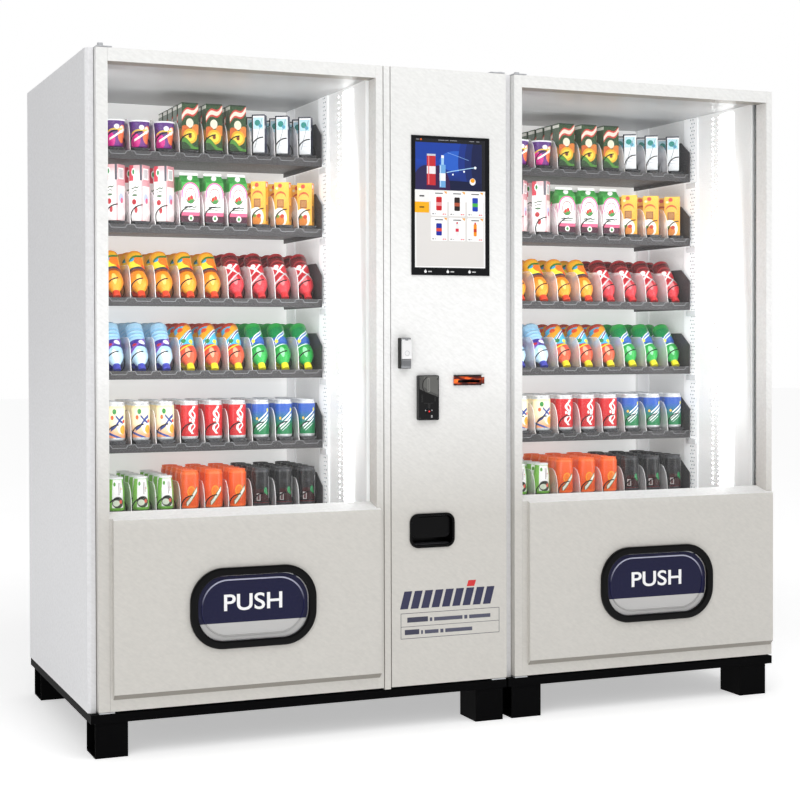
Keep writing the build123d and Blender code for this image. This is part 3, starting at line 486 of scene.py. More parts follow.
liner_white = lit_wall()
black_steel = surface("black_steel", rgb(0x040405), 0.6, 600.0, 0.08, shine=0.05)
zinc = surface("zinc", rgb(0xD9DBDE), 0.38, 260.0, 0.02, metallic=0.55, stretch=(1, 1, 0.06))
# The rails glow a little: painted light from the strips.
rail_white = surface("rail_white", rgb(0xF2F2F4), 0.35, 400.0, 0.02, glow=0.26)
tray_grey = surface("tray_grey", rgb(0x434143), 0.42, 700.0, 0.05, shine=0.35)
glass = clear("window_glass", (0.985, 0.995, 0.99), 0.0, rgb(0xFFFFFF), gloss=0.22)
seal_black = surface("seal_black", rgb(0x2A2A2C), 0.7, 900.0, 0.06)
lamp = glowing("lamp", (1.0, 1.0, 1.0), 2.6)
bin_steel = surface("bin_steel", rgb(0xB9BABD), 0.4, 400.0, 0.03)
bezel_black = surface("bezel_black", rgb(0x050506), 0.36, 1200.0, 0.04, shine=0.14)
lever_chrome = surface("lever_chrome", rgb(0xFAFAFB), 0.2, 900.0, 0.01, metallic=0.15, coat=0.5, spread=0.04)
button_grey = surface("button_grey", rgb(0x8C8D90), 0.4, 800.0, 0.03)
plate_dark = surface("plate_dark", rgb(0x0C0C0D), 0.25, 900.0, 0.02, shine=0.3)
cup_black = surface("cup_black", rgb(0x040405), 0.30, 700.0, 0.03, shine=0.12)
fan_black = surface("fan_black", rgb(0x202022), 0.5, 700.0, 0.05)
wire_dark = surface("wire_dark", rgb(0x070708), 0.3, 1500.0, 0.02, shine=0.3)
machine_steel = surface("machine_steel", rgb(0xA2A4A8), 0.32, 300.0, 0.03, metallic=0.9, stretch=(1, 1, 0.1))
screen_black = surface("screen_glass", rgb(0x131416), 0.16, 900.0, 0.005, shine=0.25, spread=0.03)

NAVY_DROP = 42 * MM  # how far below the flap's middle its navy ends


def flap_paint(unit):
    """Navy above, light grey below, as one glossy sheet."""
    bezel_low, bezel_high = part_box(f"{unit}_pickup_bezel")
    tree = Tree(f"{unit}_flap_navy")
    above = tree.calc("GREATER_THAN", tree.axis("Z"), (bezel_low.z + bezel_high.z) / 2 - NAVY_DROP)
    colour = tree.mix(above, rgb(0xC4C3C2), rgb(0x16173A))
    tree.set("Specular IOR Level", 0.2)
    return finish_of(tree, colour, 0.26, 600.0, 0.02)


def reader_paint():
    """A dark red lens lit from inside, brighter at its left."""
    low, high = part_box("banknote_reader")
    tree = Tree("reader_lens")
    along = tree.calc("DIVIDE", tree.calc("SUBTRACT", tree.axis("X"), low.x), high.x - low.x)
    up = tree.calc("DIVIDE", tree.calc("SUBTRACT", tree.axis("Z"), low.z), high.z - low.z)
    patches = tree.noise(62.0, 2.0, (0.5, 1, 1.8))
    near_left = tree.calc("SUBTRACT", 1.25, tree.times(along, 0.9))
    middle = tree.fit(tree.calc("ABSOLUTE", tree.calc("SUBTRACT", up, 0.52)), -2.3, 1.2, clamp=True)
    near_left = tree.times(near_left, middle)
    level = tree.times(tree.fit(patches, 5.0, -2.1, clamp=True), near_left, clamp=True)
    in_front = tree.calc("LESS_THAN", tree.axis("Y"), low.y + 7 * MM)
    below = tree.times(tree.calc("LESS_THAN", up, 0.84), in_front)
    level = tree.times(level, below)
    tree.set("Base Color", rgb(0x160303))
    tree.set("Emission Color", tree.mix(level, rgb(0x6E0502), rgb(0xFF6A1C)))
    dim = tree.times(tree.times(below, middle), 0.5)
    tree.set("Emission Strength", tree.fit(level, 1.7, dim))
    tree.uneven("Roughness", 0.15, 0.04, patches)
    return tree.material


CAD_MATERIALS = {
    side_grey: ["main_cabinet", "side_cabinet"],
    liner_white: ["main_liner", "side_liner"],
    bin_steel: ["main_delivery_bin", "side_delivery_bin", "control_box"],
    black_steel: ["base_frames", "feet", "rear_grilles"],
    zinc: ["door_hinges"],
    rail_white: ["tray_rails"],
    lamp: ["light_strips"],
    door_white: ["centre_post", "control_door"]
    + [f"{unit}_{part}" for unit in UNITS for part in ("door_frame", "lower_panel")],
    machine_steel: ["cooling_units", "handle_spindle"],
    bezel_black: ["power_inlet", "lock_housing", "coin_mechanism", "main_pickup_bezel", "side_pickup_bezel"],
    glass: ["main_door_glass", "side_door_glass"],
    seal_black: ["main_door_seal", "side_door_seal"],
    fan_black: ["main_fan", "side_fan"],
    screen_black: ["touch_screen"],
    plate_dark: ["coin_plate", "coin_return_button"],
    cup_black: ["coin_cup", "coin_cup_flap"],
    lever_chrome: ["door_handle"],
    button_grey: ["lock_button"],
    reader_paint(): ["banknote_reader"],
    tray_grey: [f"{unit}_tray_{number}" for unit in UNITS for number in TRAYS],
    wire_dark: [f"main_spiral_{number}" for number in range(1, CAD_SPIRALS + 1)],
    flap_paint("main"): ["main_pickup_flap"],
    flap_paint("side"): ["side_pickup_flap"],
}
for material, nodes in CAD_MATERIALS.items():
    for node in nodes:
        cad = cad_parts[node]
        if not cad.material_slots:
            cad.data.materials.append(material)
        for holder in cad.material_slots:
            holder.material = material


# Goods: generic packs, drawn in mm about the middle of their base, facing the front -----------------

# These glow a little too: painted light from the strips.
can_metal = surface("can_metal", rgb(0xDCDDE0), 0.28, 600.0, 0.01, metallic=0.5, glow=PAINTED_STRIP_GLOW)
lid_white = surface("lid_white", rgb(0xECECEE), 0.35, 500.0, 0.02, glow=PAINTED_STRIP_GLOW)
carton_top = surface("carton_top", rgb(0xF0F0EE), 0.5, 500.0, 0.03, glow=PAINTED_STRIP_GLOW)


def cap(name, code):
    return surface(name, rgb(code), 0.35, 900.0, 0.05)


CAN = [
    (22, 0), (25.8, 2), (28, 9), (28, 104), (24.8, 111),
    (25.5, 113), (25.5, 116.5), (23.6, 116.5), (23, 112.5),
]
CUP = [(23, 0), (24.5, 2), (31, 76), (32.5, 77), (32.5, 80), (31, 81)]
PACK = [(19, 0), (24.5, 3), (25.5, 12), (24.5, 62), (20, 96), (20.6, 99), (20.6, 102), (18.5, 102)]
BOTTLE = [
    (11, 0), (12, 1), (12, 15), (11, 16), (11, 20), (14.5, 26), (22, 38), (27.5, 52), (28.5, 64), (27, 78),
    (23.5, 90), (24, 96), (26.5, 100), (27, 128), (26.5, 146), (27.5, 158), (26, 168), (20, 174), (10, 176),
]
RIDGED = [
    (11, 0), (12, 1), (12, 15), (11, 16), (11, 20), (16, 28), (25, 44), (27, 58), (25, 64), (27, 70),
    (26, 76), (26, 104), (27, 108), (24.5, 115), (27, 122), (24.5, 129), (27, 136), (24.5, 143), (27, 150),
    (25.5, 160), (27, 166), (21, 175), (10, 176),
]
CAP_BANDS = 4


def lathe_goods(profile, marks, span=None):
    shape = Shape()
    shape.lathe([(r * MM, h * MM) for r, h in profile], marks, 18, span and [h * MM for h in span])
    return shape


def can(_):
    return lathe_goods(CAN, [1, 1, 0, 1, 1, 1, 1, 1])


def cup(_):
    return lathe_goods(CUP, [0, 0, 1, 1, 1])


def pack(_):
    return lathe_goods(PACK, [0, 0, 0, 0, 1, 1, 1])


def bottle(profile):
    return lathe_goods(profile, [1] * CAP_BANDS + [0] * (len(profile) - 1 - CAP_BANDS), (20, 176))


def carton(size):
    width, depth, height = (value * MM for value in size)
    shape = Shape()
    shape.box((-width / 2, -depth / 2, 0), (width / 2, depth / 2, height), sides=(0, 1, 2))
    return shape


def gable(size):
    """A carton whose top folds to a ridge with a fin and a screw cap on its slope."""
    width, depth, height = (value * MM for value in size)
    eaves, ridge = height * 0.80, height * 0.95
    shape = Shape()
    shape.box((-width / 2, -depth / 2, 0), (width / 2, depth / 2, eaves), sides=(0, 1, 2))
    roof = [(-depth / 2, eaves), (depth / 2, eaves), (2 * MM, ridge), (-2 * MM, ridge)]
    shape.prism(roof, -width / 2, width / 2, "X", 3)
    shape.box((-width / 2, -1.2 * MM, ridge), (width / 2, 1.2 * MM, height), mark=2)
    screw = Shape()
    screw.lathe([(8 * MM, 0), (8 * MM, 7 * MM), (6.5 * MM, 8 * MM)], [2, 2], 12)
    spot = Matrix.Translation((0, -depth * 0.24, (eaves + ridge) / 2 + MM))
    shape.join(screw, spot @ Matrix.Rotation(math.radians(50), 4, "X"))
    return shape


# name: (shape maker, its size or profile, turn, lean, height above the tray's bottom, materials)
# The turn and the lean are in degrees.
GOODS = {
    "noodle_cup": (cup, None, 0, 0, 40, [
        art("cup_print", 0x54237A,
            fade(55, 5, 0x7A1F86), oval(36, 22, 12, 30, 0xD8148A), oval(62, 45, 10, 34, 0xF0703A),
            oval(60, 62, 5, 14, 0xF7E3C8), wave(42, 90, 5, 200, 4.5, 36, 72, 0xF4EDE6),
            wave(62, 60, 4, 300, 3, 30, 60, 0xE8C23A), oval(50, 72, 4.5, 9, 0xEDE6F4),
            oval(68, 25, 3, 12, 0xB8261C), fade(94, 95, 0xEDEBEF)),
        lid_white,
    ]),
    "fruit_carton": (carton, (52, 46, 142), 0, 0, 40, [
        art("fruit_print", 0x2E4A2C,
            wave(80, 25, 6, 100, 8.5, 0xC9443A), wave(80, 25, 6, 100, 4.5, 0xF1D9CC),
            oval(48, 56, 22, 10, 0xE6DCC6), oval(20, 38, 30, 13, 0xC8622E), oval(85, 42, 26, 12, 0xD27A34),
            oval(50, 28, 42, 16, 0xE3A928), oval(50, 28, 30, 11, 0xEFD04A), oval(50, 28, 10, 4.5, 0x7A3B1E),
            wave(10, -20, 4, 100, 5, 0x4F8A35), box(0, 100, 96.5, 100, 0x1F3320)),
        art("fruit_side", 0x35502F, oval(50, 30, 50, 16, 0xC98A2C), box(0, 100, 90, 97, 0xE9E6DC)),
        art("fruit_top", 0x2B4429, box(0, 100, 42, 58, 0xE6E4DA)),
    ]),
    "tea_carton": (carton, (40, 36, 118), -30, 0, 40, [
        art("tea_print", 0xF4F5F8,
            box(0, 10, 0, 100, 0x1D1D24), box(14, 92, 62, 92, 0xBFE0EE), oval(45, 78, 22, 8, 0x2F8F86),
            oval(68, 70, 14, 5, 0x4FA7C4), column(52, 75, 0, 100, 1.8, 12, 90, 0x7D828C),
            wave(30, 0, 0, 100, 0.6, 30, 85, 0xC2C6D0), wave(22, 0, 0, 100, 0.6, 30, 75, 0xC2C6D0),
            box(0, 100, 96.5, 100, 0x2A2C3E)),
        art("tea_side", 0x2C2F4E,
            oval(30, 68, 12, 5, 0xFFFFFF), column(70, 0, 0, 100, 5, 10, 50, 0x4A4F78)),
        art("tea_top", 0x34364C, box(10, 90, 20, 80, 0xC8CBD6)),
    ]),
    "milk_carton": (carton, (45, 45, 168), -42, 0, 38, [
        art("milk_print", 0xF6F2F1,
            fade(80, 95, 0xE9B9BE), box(0, 30, 72, 100, 0xC8374A), oval(30, 88, 14, 7, 0xF7F7F7),
            oval(30, 88, 8, 4.5, 0x2E8A44), box(78, 96, 72, 100, 0x5A5560), oval(36, 34, 16, 5, 0xB4262E),
            oval(50, 20, 12, 6, 0xC23A40), oval(40, 46, 20, 2, 0x4A6E4C),
            wave(60, 5, 1, 300, 1.2, 16, 70, 0x44624A), wave(54, 5, 1, 300, 0.8, 20, 62, 0x44624A),
            box(90, 100, 0, 72, 0xEFA0A6)),
        art("milk_side", 0xEFD9DA,
            box(0, 100, 62, 100, 0xC98A92), box(12, 80, 74, 94, 0xF8F8F8),
            column(46, 0, 0, 100, 26, 76, 92, 0xB9B9BC), oval(45, 40, 30, 9, 0xA8B4D8),
            oval(55, 36, 16, 5, 0xC8496A), wave(16, 0, 2, 400, 6, 0xF6EDED)),
        art("milk_top", 0xC43A4C, box(30, 70, 30, 70, 0xF2F2F2)),
    ]),
    "gable_carton": (gable, (56, 50, 152), 0, 0, 38, [
        art("gable_print", 0xF2F0EF,
            box(0, 100, 80, 100, 0x3C9A42), oval(50, 72, 50, 28, 0xE66AA4), oval(50, 70, 43, 26, 0xF7F5F4),
            oval(50, 66, 30, 20, 0x7C3A4A), oval(50, 66, 26, 17.5, 0xF4F1EE), oval(50, 56, 19, 9, 0x3F8A45),
            oval(40, 58, 7, 5, 0xC8242C), oval(56, 62, 8, 5.5, 0xD4303A),
            wave(38, 0, 0.6, 400, 1.6, 15, 85, 0x3F4A3E), wave(32, 0, 0.4, 300, 1.2, 20, 80, 0x5A6A52),
            box(0, 100, 16, 25, 0xD45A7C), box(0, 100, 0, 16, 0x4A2434), oval(52, 10, 14, 7.5, 0xEDEBE6),
            oval(52, 10, 8, 4.5, 0x3F8A45)),
        art("gable_side", 0xEFE7E6,
            box(0, 100, 80, 100, 0x3C9A42), box(0, 100, 0, 20, 0x8A3450),
            wave(60, 20, 10, 200, 5, 0xE9A0BC)),
        carton_top,
        art("gable_roof", 0x44A04A, box(20, 80, 10, 50, 0x54B35A)),
    ]),
    "cereal_box": (carton, (47, 30, 133), -34, 0, 38, [
        art("cereal_print", 0xF2A93A,
            fade(60, 100, 0xF7C04C), oval(45, 66, 36, 13, 0xC65A30), oval(45, 62, 36, 12, 0xF2B24A),
            box(20, 66, 40, 60, 0x8C5A34), box(25, 61, 43, 58, 0xB27C48), oval(36, 16, 50, 24, 0xF6F1E8),
            oval(36, 10, 34, 12, 0xD9822E), oval(55, 20, 14, 5, 0xC8402A), oval(25, 20, 10, 4, 0x6E9A3C),
            oval(40, 92, 14, 5, 0xD8473A), oval(18, 86, 9, 3, 0xEBD9B8)),
        art("cereal_side", 0xF5AE2E,
            oval(45, 92, 36, 7.5, 0xE23A44), oval(45, 92, 24, 5, 0xF8E9E4),
            column(50, 0, 0, 100, 10, 52, 80, 0xC07A2A), box(25, 80, 8, 46, 0x8A4F2E),
            box(32, 72, 11, 43, 0xA8683A)),
        art("cereal_top", 0xE59A2C, box(10, 90, 30, 70, 0xF7D08A)),
    ]),
    "orange_bottle": (bottle, BOTTLE, 0, 40, 27, [
        art("orange_print_and_highlight", 0xF08C14,
            # The small light upright oval low on the front is a painted highlight.
            fade(30, 0, 0xF6A428), oval(47, 22, 4.5, 12, 0xFBC766), box(0, 100, 43.5, 49, 0x8A3A10),
            box(0, 100, 49, 53, 0x23263C), box(0, 100, 53, 90, 0xF3B21C), oval(44, 62, 12, 9, 0xF7E63A),
            oval(54, 70, 10, 13, 0xF07A1E), oval(40, 74, 5.5, 5, 0x3FA0DC),
            wave(80, 50, 2, 300, 2.5, 34, 66, 0x3E7A2C), oval(62, 56, 6, 5, 0xE24A1C),
            fade(88, 94, 0xF29A28)),
        cap("cap_red", 0xE2401E),
    ]),
    "cherry_bottle": (bottle, BOTTLE, 0, 40, 27, [
        art("cherry_print_and_highlight", 0xC21E2C,
            # The small light upright oval low on the front is a painted highlight.
            fade(30, 0, 0xD93A44), oval(46, 22, 5, 11, 0xE8787C), wave(34, 50, 5, 200, 2.2, 0xC9CACE),
            wave(46, -60, 6, 100, 3, 0xE9E6E6), wave(56, 70, 5, 200, 2.8, 0xE8E4E4),
            oval(42, 60, 5, 5, 0xF0ECEC), box(0, 100, 66, 90, 0x6E1A1E), wave(74, 20, 2, 300, 2, 0xA83A3C),
            wave(84, -30, 2, 200, 1.5, 0x3C1012), fade(86, 93, 0xA8242C)),
        cap("cap_crimson", 0xD02A30),
    ]),
    "water_bottle": (bottle, RIDGED, 0, 40, 27, [
        art("water_print_and_highlight", 0xA6CDEA,
            # The small light upright oval low on the front is a painted highlight.
            fade(35, 0, 0xC2DDF0), oval(46, 16, 5, 11, 0xFFFFFF), box(0, 100, 35.5, 53, 0x3B2C8A),
            wave(44, 60, 3, 200, 3.5, 0x7A4FB0), oval(56, 46, 7, 5, 0xE9E6F6), oval(40, 41, 5, 3, 0xB8263A),
            wave(62, 0, 0, 100, 1.8, 0x8FC2E4), wave(71, 0, 0, 100, 1.8, 0x8FC2E4),
            wave(80, 0, 0, 100, 1.8, 0x8FC2E4), wave(90, 0, 0, 100, 2, 0xA8D2EC)),
        cap("cap_blue", 0x3A3FA4),
    ]),
    "peach_bottle": (bottle, BOTTLE, 0, 40, 27, [
        art("peach_print_and_highlight", 0xD1452C,
            # The small light upright oval low on the front is a painted highlight.
            fade(30, 0, 0xE2603A), oval(46, 20, 4.5, 11, 0xF0A080), wave(36, 30, 1, 200, 1.6, 0xF2DC2C),
            box(0, 100, 40, 86, 0x4FB2D8), wave(78, 50, 5, 200, 9, 0xF2A828),
            wave(62, 90, 4, 200, 4.5, 0xF6F6F8), wave(62, 90, 4, 200, 2, 0x4A3A8C),
            oval(58, 48, 5, 5, 0xF0D63A), oval(42, 50, 5, 4.5, 0x2C7A3C), oval(40, 78, 6, 5, 0xE8542A),
            fade(85, 93, 0xB23A28)),
        cap("cap_yellow", 0xEBD31C),
    ]),
    "lime_bottle": (bottle, BOTTLE, 0, 40, 27, [
        art("lime_print_and_highlight", 0x1F9A3E,
            # The small light upright oval low on the front is a painted highlight.
            fade(30, 0, 0x2FB04E), oval(46, 20, 4.5, 11, 0x8FDCA0), wave(39, 20, 1, 200, 1.4, 0xE6F0F2),
            box(0, 100, 41, 60, 0x2C5FB4), box(0, 100, 60, 84, 0x128A4A),
            wave(62, 120, 2, 300, 5, 36, 62, 0xE8EDF4), wave(62, 120, 2, 300, 2, 38, 60, 0x5C86C8),
            oval(40, 50, 3.5, 4, 0xEFE23C), fade(84, 92, 0x2FA84C)),
        cap("cap_lemon", 0xE6DC1E),
    ]),
    "citrus_can": (can, None, 0, 0, 36, [
        art("citrus_print", 0xF8E9C4,
            fade(45, 0, 0xF07A24), fade(85, 100, 0xF3C83C), oval(57, 40, 9, 22, 0xFBF2E0),
            oval(60, 30, 6, 12, 0xF5A92C), wave(48, 170, 2, 600, 4.5, 37, 62, 0x23408E),
            wave(60, -120, 2, 500, 3.5, 46, 60, 0x23408E), oval(44, 78, 3.5, 7.5, 0x2E8A3C),
            oval(40, 62, 2.8, 6, 0xE85A22), wave(10, -50, 2, 100, 3, 0x2A4A9A),
            oval(62, 52, 3, 5, 0xE2502A)),
        can_metal,
    ]),
    "ribbon_can": (can, None, 0, 0, 36, [
        art("ribbon_print", 0xC4161E,
            fade(98, 99, 0xD8D8DA), column(50, 2, 3.5, 250, 2.2, 14, 90, 0xF2ECEC),
            column(53.5, 2, 2.8, 350, 1.2, 20, 86, 0xF2ECEC), oval(45.5, 30, 1.4, 7, 0xF2ECEC),
            oval(56, 62, 1.4, 8, 0xF2ECEC), oval(47, 52, 1.6, 5, 0xF2ECEC)),
        can_metal,
    ]),
    "alpine_can": (can, None, 0, 0, 36, [
        art("alpine_print", 0x0F7A48,
            fade(35, 75, 0x2A56B0), wave(46, 140, 0, 100, 3.5, 38, 62, 0xF4F7FA),
            wave(36, 140, 0, 100, 2.2, 40, 60, 0xF4F7FA), wave(58, 140, 0, 100, 2.2, 42, 60, 0xF4F7FA),
            wave(27, 140, 0, 100, 1.2, 43, 57, 0xDDE8EE), oval(60, 76, 2.2, 5, 0xE9E23C),
            oval(39, 52, 2, 4, 0xE9B83C), fade(98.5, 99, 0xD8D8DA)),
        can_metal,
    ]),
    "garden_pack": (pack, None, 0, 0, 44, [
        art("garden_print", 0x7DBB4E,
            box(38.5, 61.5, 10, 93, 0xF6F4F4), oval(50, 26, 11.5, 17, 0x3C4238),
            oval(47, 24, 7, 9, 0xD9E2D0), oval(56, 28, 3, 6, 0xE2604A), oval(43, 80, 2.6, 6, 0x5AA43C),
            box(51.5, 53, 48, 84, 0x9A8A8E), box(54.5, 55.7, 55, 84, 0x9A8A8E),
            oval(57.5, 66, 1, 2.5, 0xE2904A), fade(12, 5, 0x69A83C), fade(94, 95, 0x4A4A4C)),
        lid_white,
    ]),
    "tang_can": (can, None, 0, 0, 44, [
        art("tang_print", 0xEE5A1E,
            oval(49, 46, 7, 15, 0xF7A02A), oval(49, 46, 5.5, 12, 0xF27820),
            wave(30, 190, 1.5, 400, 8.5, 40, 62, 0x2E7A3C), wave(30, 190, 1.5, 400, 5.5, 41, 61, 0xF4F2E8)),
        # The lid glows a little: painted light from the strips.
        surface("lid_orange", rgb(0xEE6A30), 0.3, 500.0, 0.02, glow=0.3),
    ]),
    "cola_can": (can, None, 0, 0, 44, [
        art("cola_print", 0x1C1A1D,
            box(37, 63, 12, 46, 0x3A1518), box(38, 45, 14, 34, 0xC8C2C2), box(39.5, 43.5, 16, 31, 0x6A4A4C),
            oval(55, 42, 3.5, 9, 0x2F8F56), oval(58, 34, 2, 5, 0x2F8F56),
            column(64, 1, 0.4, 500, 0.8, 20, 80, 0xDEDEE0), box(43, 53, 62, 72, 0x2E2C31),
            fade(9, 8, 0xC4242C)),
        surface("lid_black", rgb(0x4A4A4E), 0.3, 500.0, 0.02),
    ]),
}
ROWS = (
    ("noodle_cup", "fruit_carton", "tea_carton"),
    ("milk_carton", "gable_carton", "cereal_box"),
    ("orange_bottle", "orange_bottle", "cherry_bottle"),
    ("water_bottle", "peach_bottle", "lime_bottle"),
    ("citrus_can", "ribbon_can", "alpine_can"),
    ("garden_pack", "tang_can", "cola_can"),
)
GROUPS = (range(0, 4), range(4, 7), range(7, 10))
BOTTLE_ROWS = (3, 4)


def lanes_of(row):
    """The lanes that each kind of goods fills. The orange bottles of the third row take six lanes."""
    if row == 3:
        return (range(0, 3), range(3, 6), range(6, 10))
    return GROUPS


# Trays: spirals, risers, dividers, lip notches and goods --------------------------------------------

SPIRAL_RADIUS = 33.5 * MM
WIRE = 2 * MM
SPIRAL_RISE = 51.5 * MM
SPIRAL_START = 6 * MM
SPIRAL_LENGTH = 300 * MM
FLOOR_TOP = 15 * MM
DIVIDER_LENGTH = 322 * MM
RISER_Y, RISER_BOTTOM = (14 * MM, 300 * MM), 19 * MM
RISER_TOP, BOTTLE_RISER_TOP = 36 * MM, 24 * MM
FIRST_PLACE = 0.67  # the first upright pack's middle, in turns of the spiral
FIRST_BOTTLE = 16 * MM
clear_sheet = clear("divider_clear", (0.98, 0.975, 0.98), 0.11, rgb(0xF4F0F2), gloss=0.3)
# A white bead along each divider's front edge: painted highlight where the clear edge catches light.
edge_highlight = clear("divider_edge", (0.97, 0.965, 0.97), 0.80, rgb(0xFFFCFD), gloss=0.6)
smoke = clear("riser_smoke", (0.62, 0.62, 0.64), 0.50, rgb(0x5C5C60), gloss=0.5)
# The notches' lighter grey is a painted highlight on the lip's notch edges.
notch_highlight = surface("notch_line", rgb(0x8F8F93), 0.35, 500.0, 0.02)
hub_black = surface("hub_black", rgb(0x2B2B2E), 0.45, 700.0, 0.03)


def spiral_wire(shape, x, y, z, turns):
    """A left-handed coil from twelve o'clock at the front, then its arm and hub at the back."""
    per_turn = 20
    path = []
    for step in range(int(turns * per_turn) + 1):
        angle = math.tau * step / per_turn
        run = SPIRAL_LENGTH * step / (turns * per_turn)
        path.append((x - SPIRAL_RADIUS * math.sin(angle), y + run, z + SPIRAL_RADIUS * math.cos(angle)))
    path.append((x, y + SPIRAL_LENGTH + WIRE, z))
    shape.tube(path, WIRE, 6)
    hub = [(x, y + SPIRAL_LENGTH - 4 * MM, z), (x, y + SPIRAL_LENGTH + 17 * MM, z)]
    shape.tube(hub, 9 * MM, 12, 1)


def divider(shape, x, y, z, back):
    """A clear plate with a sloping front that curves into its top, on a flared foot."""
    front = [(4, 0), (4, 10), (9, 22), (12, 60), (20, 86), (33, 103), (48, 111)]
    outline = [(y + a * MM, z + b * MM) for a, b in front] + [(back, z + 111 * MM), (back, z)]
    shape.prism(outline[::-1], x - 0.8 * MM, x + 0.8 * MM, "X", 0)
    # The bead along the front edge is a painted highlight.
    edge = [(x, y + (a - 0.4) * MM, z + b * MM) for a, b in front] + [(x, back, z + 111.4 * MM)]
    shape.tube(edge, 1.0 * MM, 5, 1)
    foot = [(y + 1 * MM, z), (y + 16 * MM, z), (y + 13 * MM, z + 9 * MM), (y + 4 * MM, z + 9 * MM)]
    shape.prism(foot[::-1], x - 5 * MM, x + 5 * MM, "X", 0)


def riser(shape, x, low, top):
    """The trough that goods stand on inside the coil: round below, flat on top, with ribs on its front."""
    radius, rib_width = 29 * MM, 1.6 * MM
    front, back = (low.y + y for y in RISER_Y)
    bottom, top = low.z + RISER_BOTTOM, low.z + top
    centre = bottom + radius
    half = math.acos(max(-1.0, min(1.0, (centre - top) / radius)))
    angles = [-math.pi / 2 - half + 2 * half * step / 8 for step in range(9)]
    shape.prism([(x + radius * math.cos(a), centre + radius * math.sin(a)) for a in angles], front, back)
    for rib in (-0.4, 0.0, 0.4):
        left = x + rib * radius - rib_width / 2
        shape.box((left, front - 0.8 * MM, bottom + 3 * MM), (left + rib_width, front, top))


def notch(shape, x, y, z):
    """The label notch on the tray's lip, drawn as a raised lighter line: the notch is real, its lighter grey
    is a painted highlight on its edge.
    """
    bends = [(-37, 24.5), (-27, 24.5), (-21, 15), (21, 15), (27, 24.5), (37, 24.5)]
    half = 0.7 * MM
    for (a, b), (c, d) in zip(bends, bends[1:]):
        start, end = Vector((x + a * MM, z + b * MM)), Vector((x + c * MM, z + d * MM))
        across = (end - start).normalized().orthogonal() * half
        corners = [start - across, end - across, end + across, start + across]
        shape.prism([tuple(c) for c in corners][::-1], y - 0.7 * MM, y)


def fit_out(unit, number, low, pitch, turns):
    """The tray's coils, dividers, risers and label notches."""
    coils, plates, risers, notches = Shape(), Shape(), Shape(), Shape()
    riser_top = BOTTLE_RISER_TOP if number in BOTTLE_ROWS else RISER_TOP
    for lane in range(LANES):
        x = low.x + pitch * (lane + 0.5)
        if not (unit == "main" and number == 1 and lane < CAD_SPIRALS):
            spiral_wire(coils, x, low.y + SPIRAL_START, low.z + SPIRAL_RISE, turns)
        notch(notches, x, low.y, low.z)
        riser(risers, x, low, riser_top)
        if lane:
            divider(plates, low.x + pitch * lane, low.y, low.z + FLOOR_TOP, low.y + DIVIDER_LENGTH)
    body = f"{unit}_shelf_{number}"
    show(f"{unit}_coils_{number}", coils, [wire_dark, hub_black], body)
    show(f"{unit}_dividers_{number}", plates, [clear_sheet, edge_highlight], body)
    show(f"{unit}_risers_{number}", risers, [smoke], body)
    show(f"{unit}_notches_{number}", notches, [notch_highlight], body)


def stock(unit, number, low, pitch, turns):
    """The goods of one tray, one piece for each kind. Bottles lean back, and stand further apart."""
    first, places = SPIRAL_START + SPIRAL_LENGTH / turns * FIRST_PLACE, int(turns)
    if number in BOTTLE_ROWS:
        first, places = SPIRAL_START + FIRST_BOTTLE, int(turns + 0.5)
    widen = Matrix.Diagonal((pitch / LANE_PITCH, 1, 1, 1))
    placed = {}
    for kind, lanes in zip(ROWS[number - 1], lanes_of(number)):
        maker, size, turn, lean, rise, _ = GOODS[kind]
        tilt = Matrix.Rotation(math.radians(-lean), 4, "X")
        spin = Matrix.Rotation(math.radians(turn), 4, "Z")
        template = maker(size)
        shape = placed.setdefault(kind, Shape())
        for lane in lanes:
            for place in range(places):
                y = first + SPIRAL_LENGTH / turns * place
                spot = low + Vector((pitch * (lane + 0.5), y, rise * MM))
                shape.join(template, Matrix.Translation(spot) @ tilt @ spin @ widen)
    for kind, shape in placed.items():
        maker, *_, materials = GOODS[kind]
        bevel = 0.8 * MM if maker in (carton, gable) else 0.0
        show(f"{unit}_{kind}_{number}", shape, materials, f"{unit}_shelf_{number}", bevel=bevel)


for unit in UNITS:
    for number in TRAYS:
        tray_low, tray_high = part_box(f"{unit}_tray_{number}")
        lane_pitch = (tray_high.x - tray_low.x) / LANES
        turns = 3.5 if number in BOTTLE_ROWS else 5
        fit_out(unit, number, tray_low, lane_pitch, turns)
        stock(unit, number, tray_low, lane_pitch, turns)


# Cabinet insides: lamp dots, rail holes and tray brackets -------------------------------------------

led = glowing("led", (1.0, 1.0, 1.0), 7.0)
# Mid grey used as painted shade for the rail holes and the screw slots, and as print for the rating plate's
# lines.
hole_shade_and_print = surface("hole_shade_and_print", rgb(0x77787C), 0.6, 400.0, 0.02)
plate_silver = surface("plate_silver", rgb(0xC4C6C9), 0.35, 500.0, 0.02, metallic=0.5)
bracket_white = surface("bracket_white", rgb(0xE4E5E8), 0.4, 400.0, 0.02)

WALL_GAP = 11 * MM  # from the trays' side to the wall
RAIL_THICK = 4 * MM
LAMP_ROWS, LAMP_COLUMNS = 74, (48 * MM, 84 * MM)
HOLE_ROWS, HOLE_COLUMNS = 104, (18 * MM, 32 * MM)
BRACKET_Y, BRACKET_DROP, BRACKET_HALF = (2 * MM, 60 * MM), 13 * MM, 9 * MM


def middles(start, end, count):
    """The middles of equal stretches from start to end."""
    return [start + (end - start) * (step + 0.5) / count for step in range(count)]


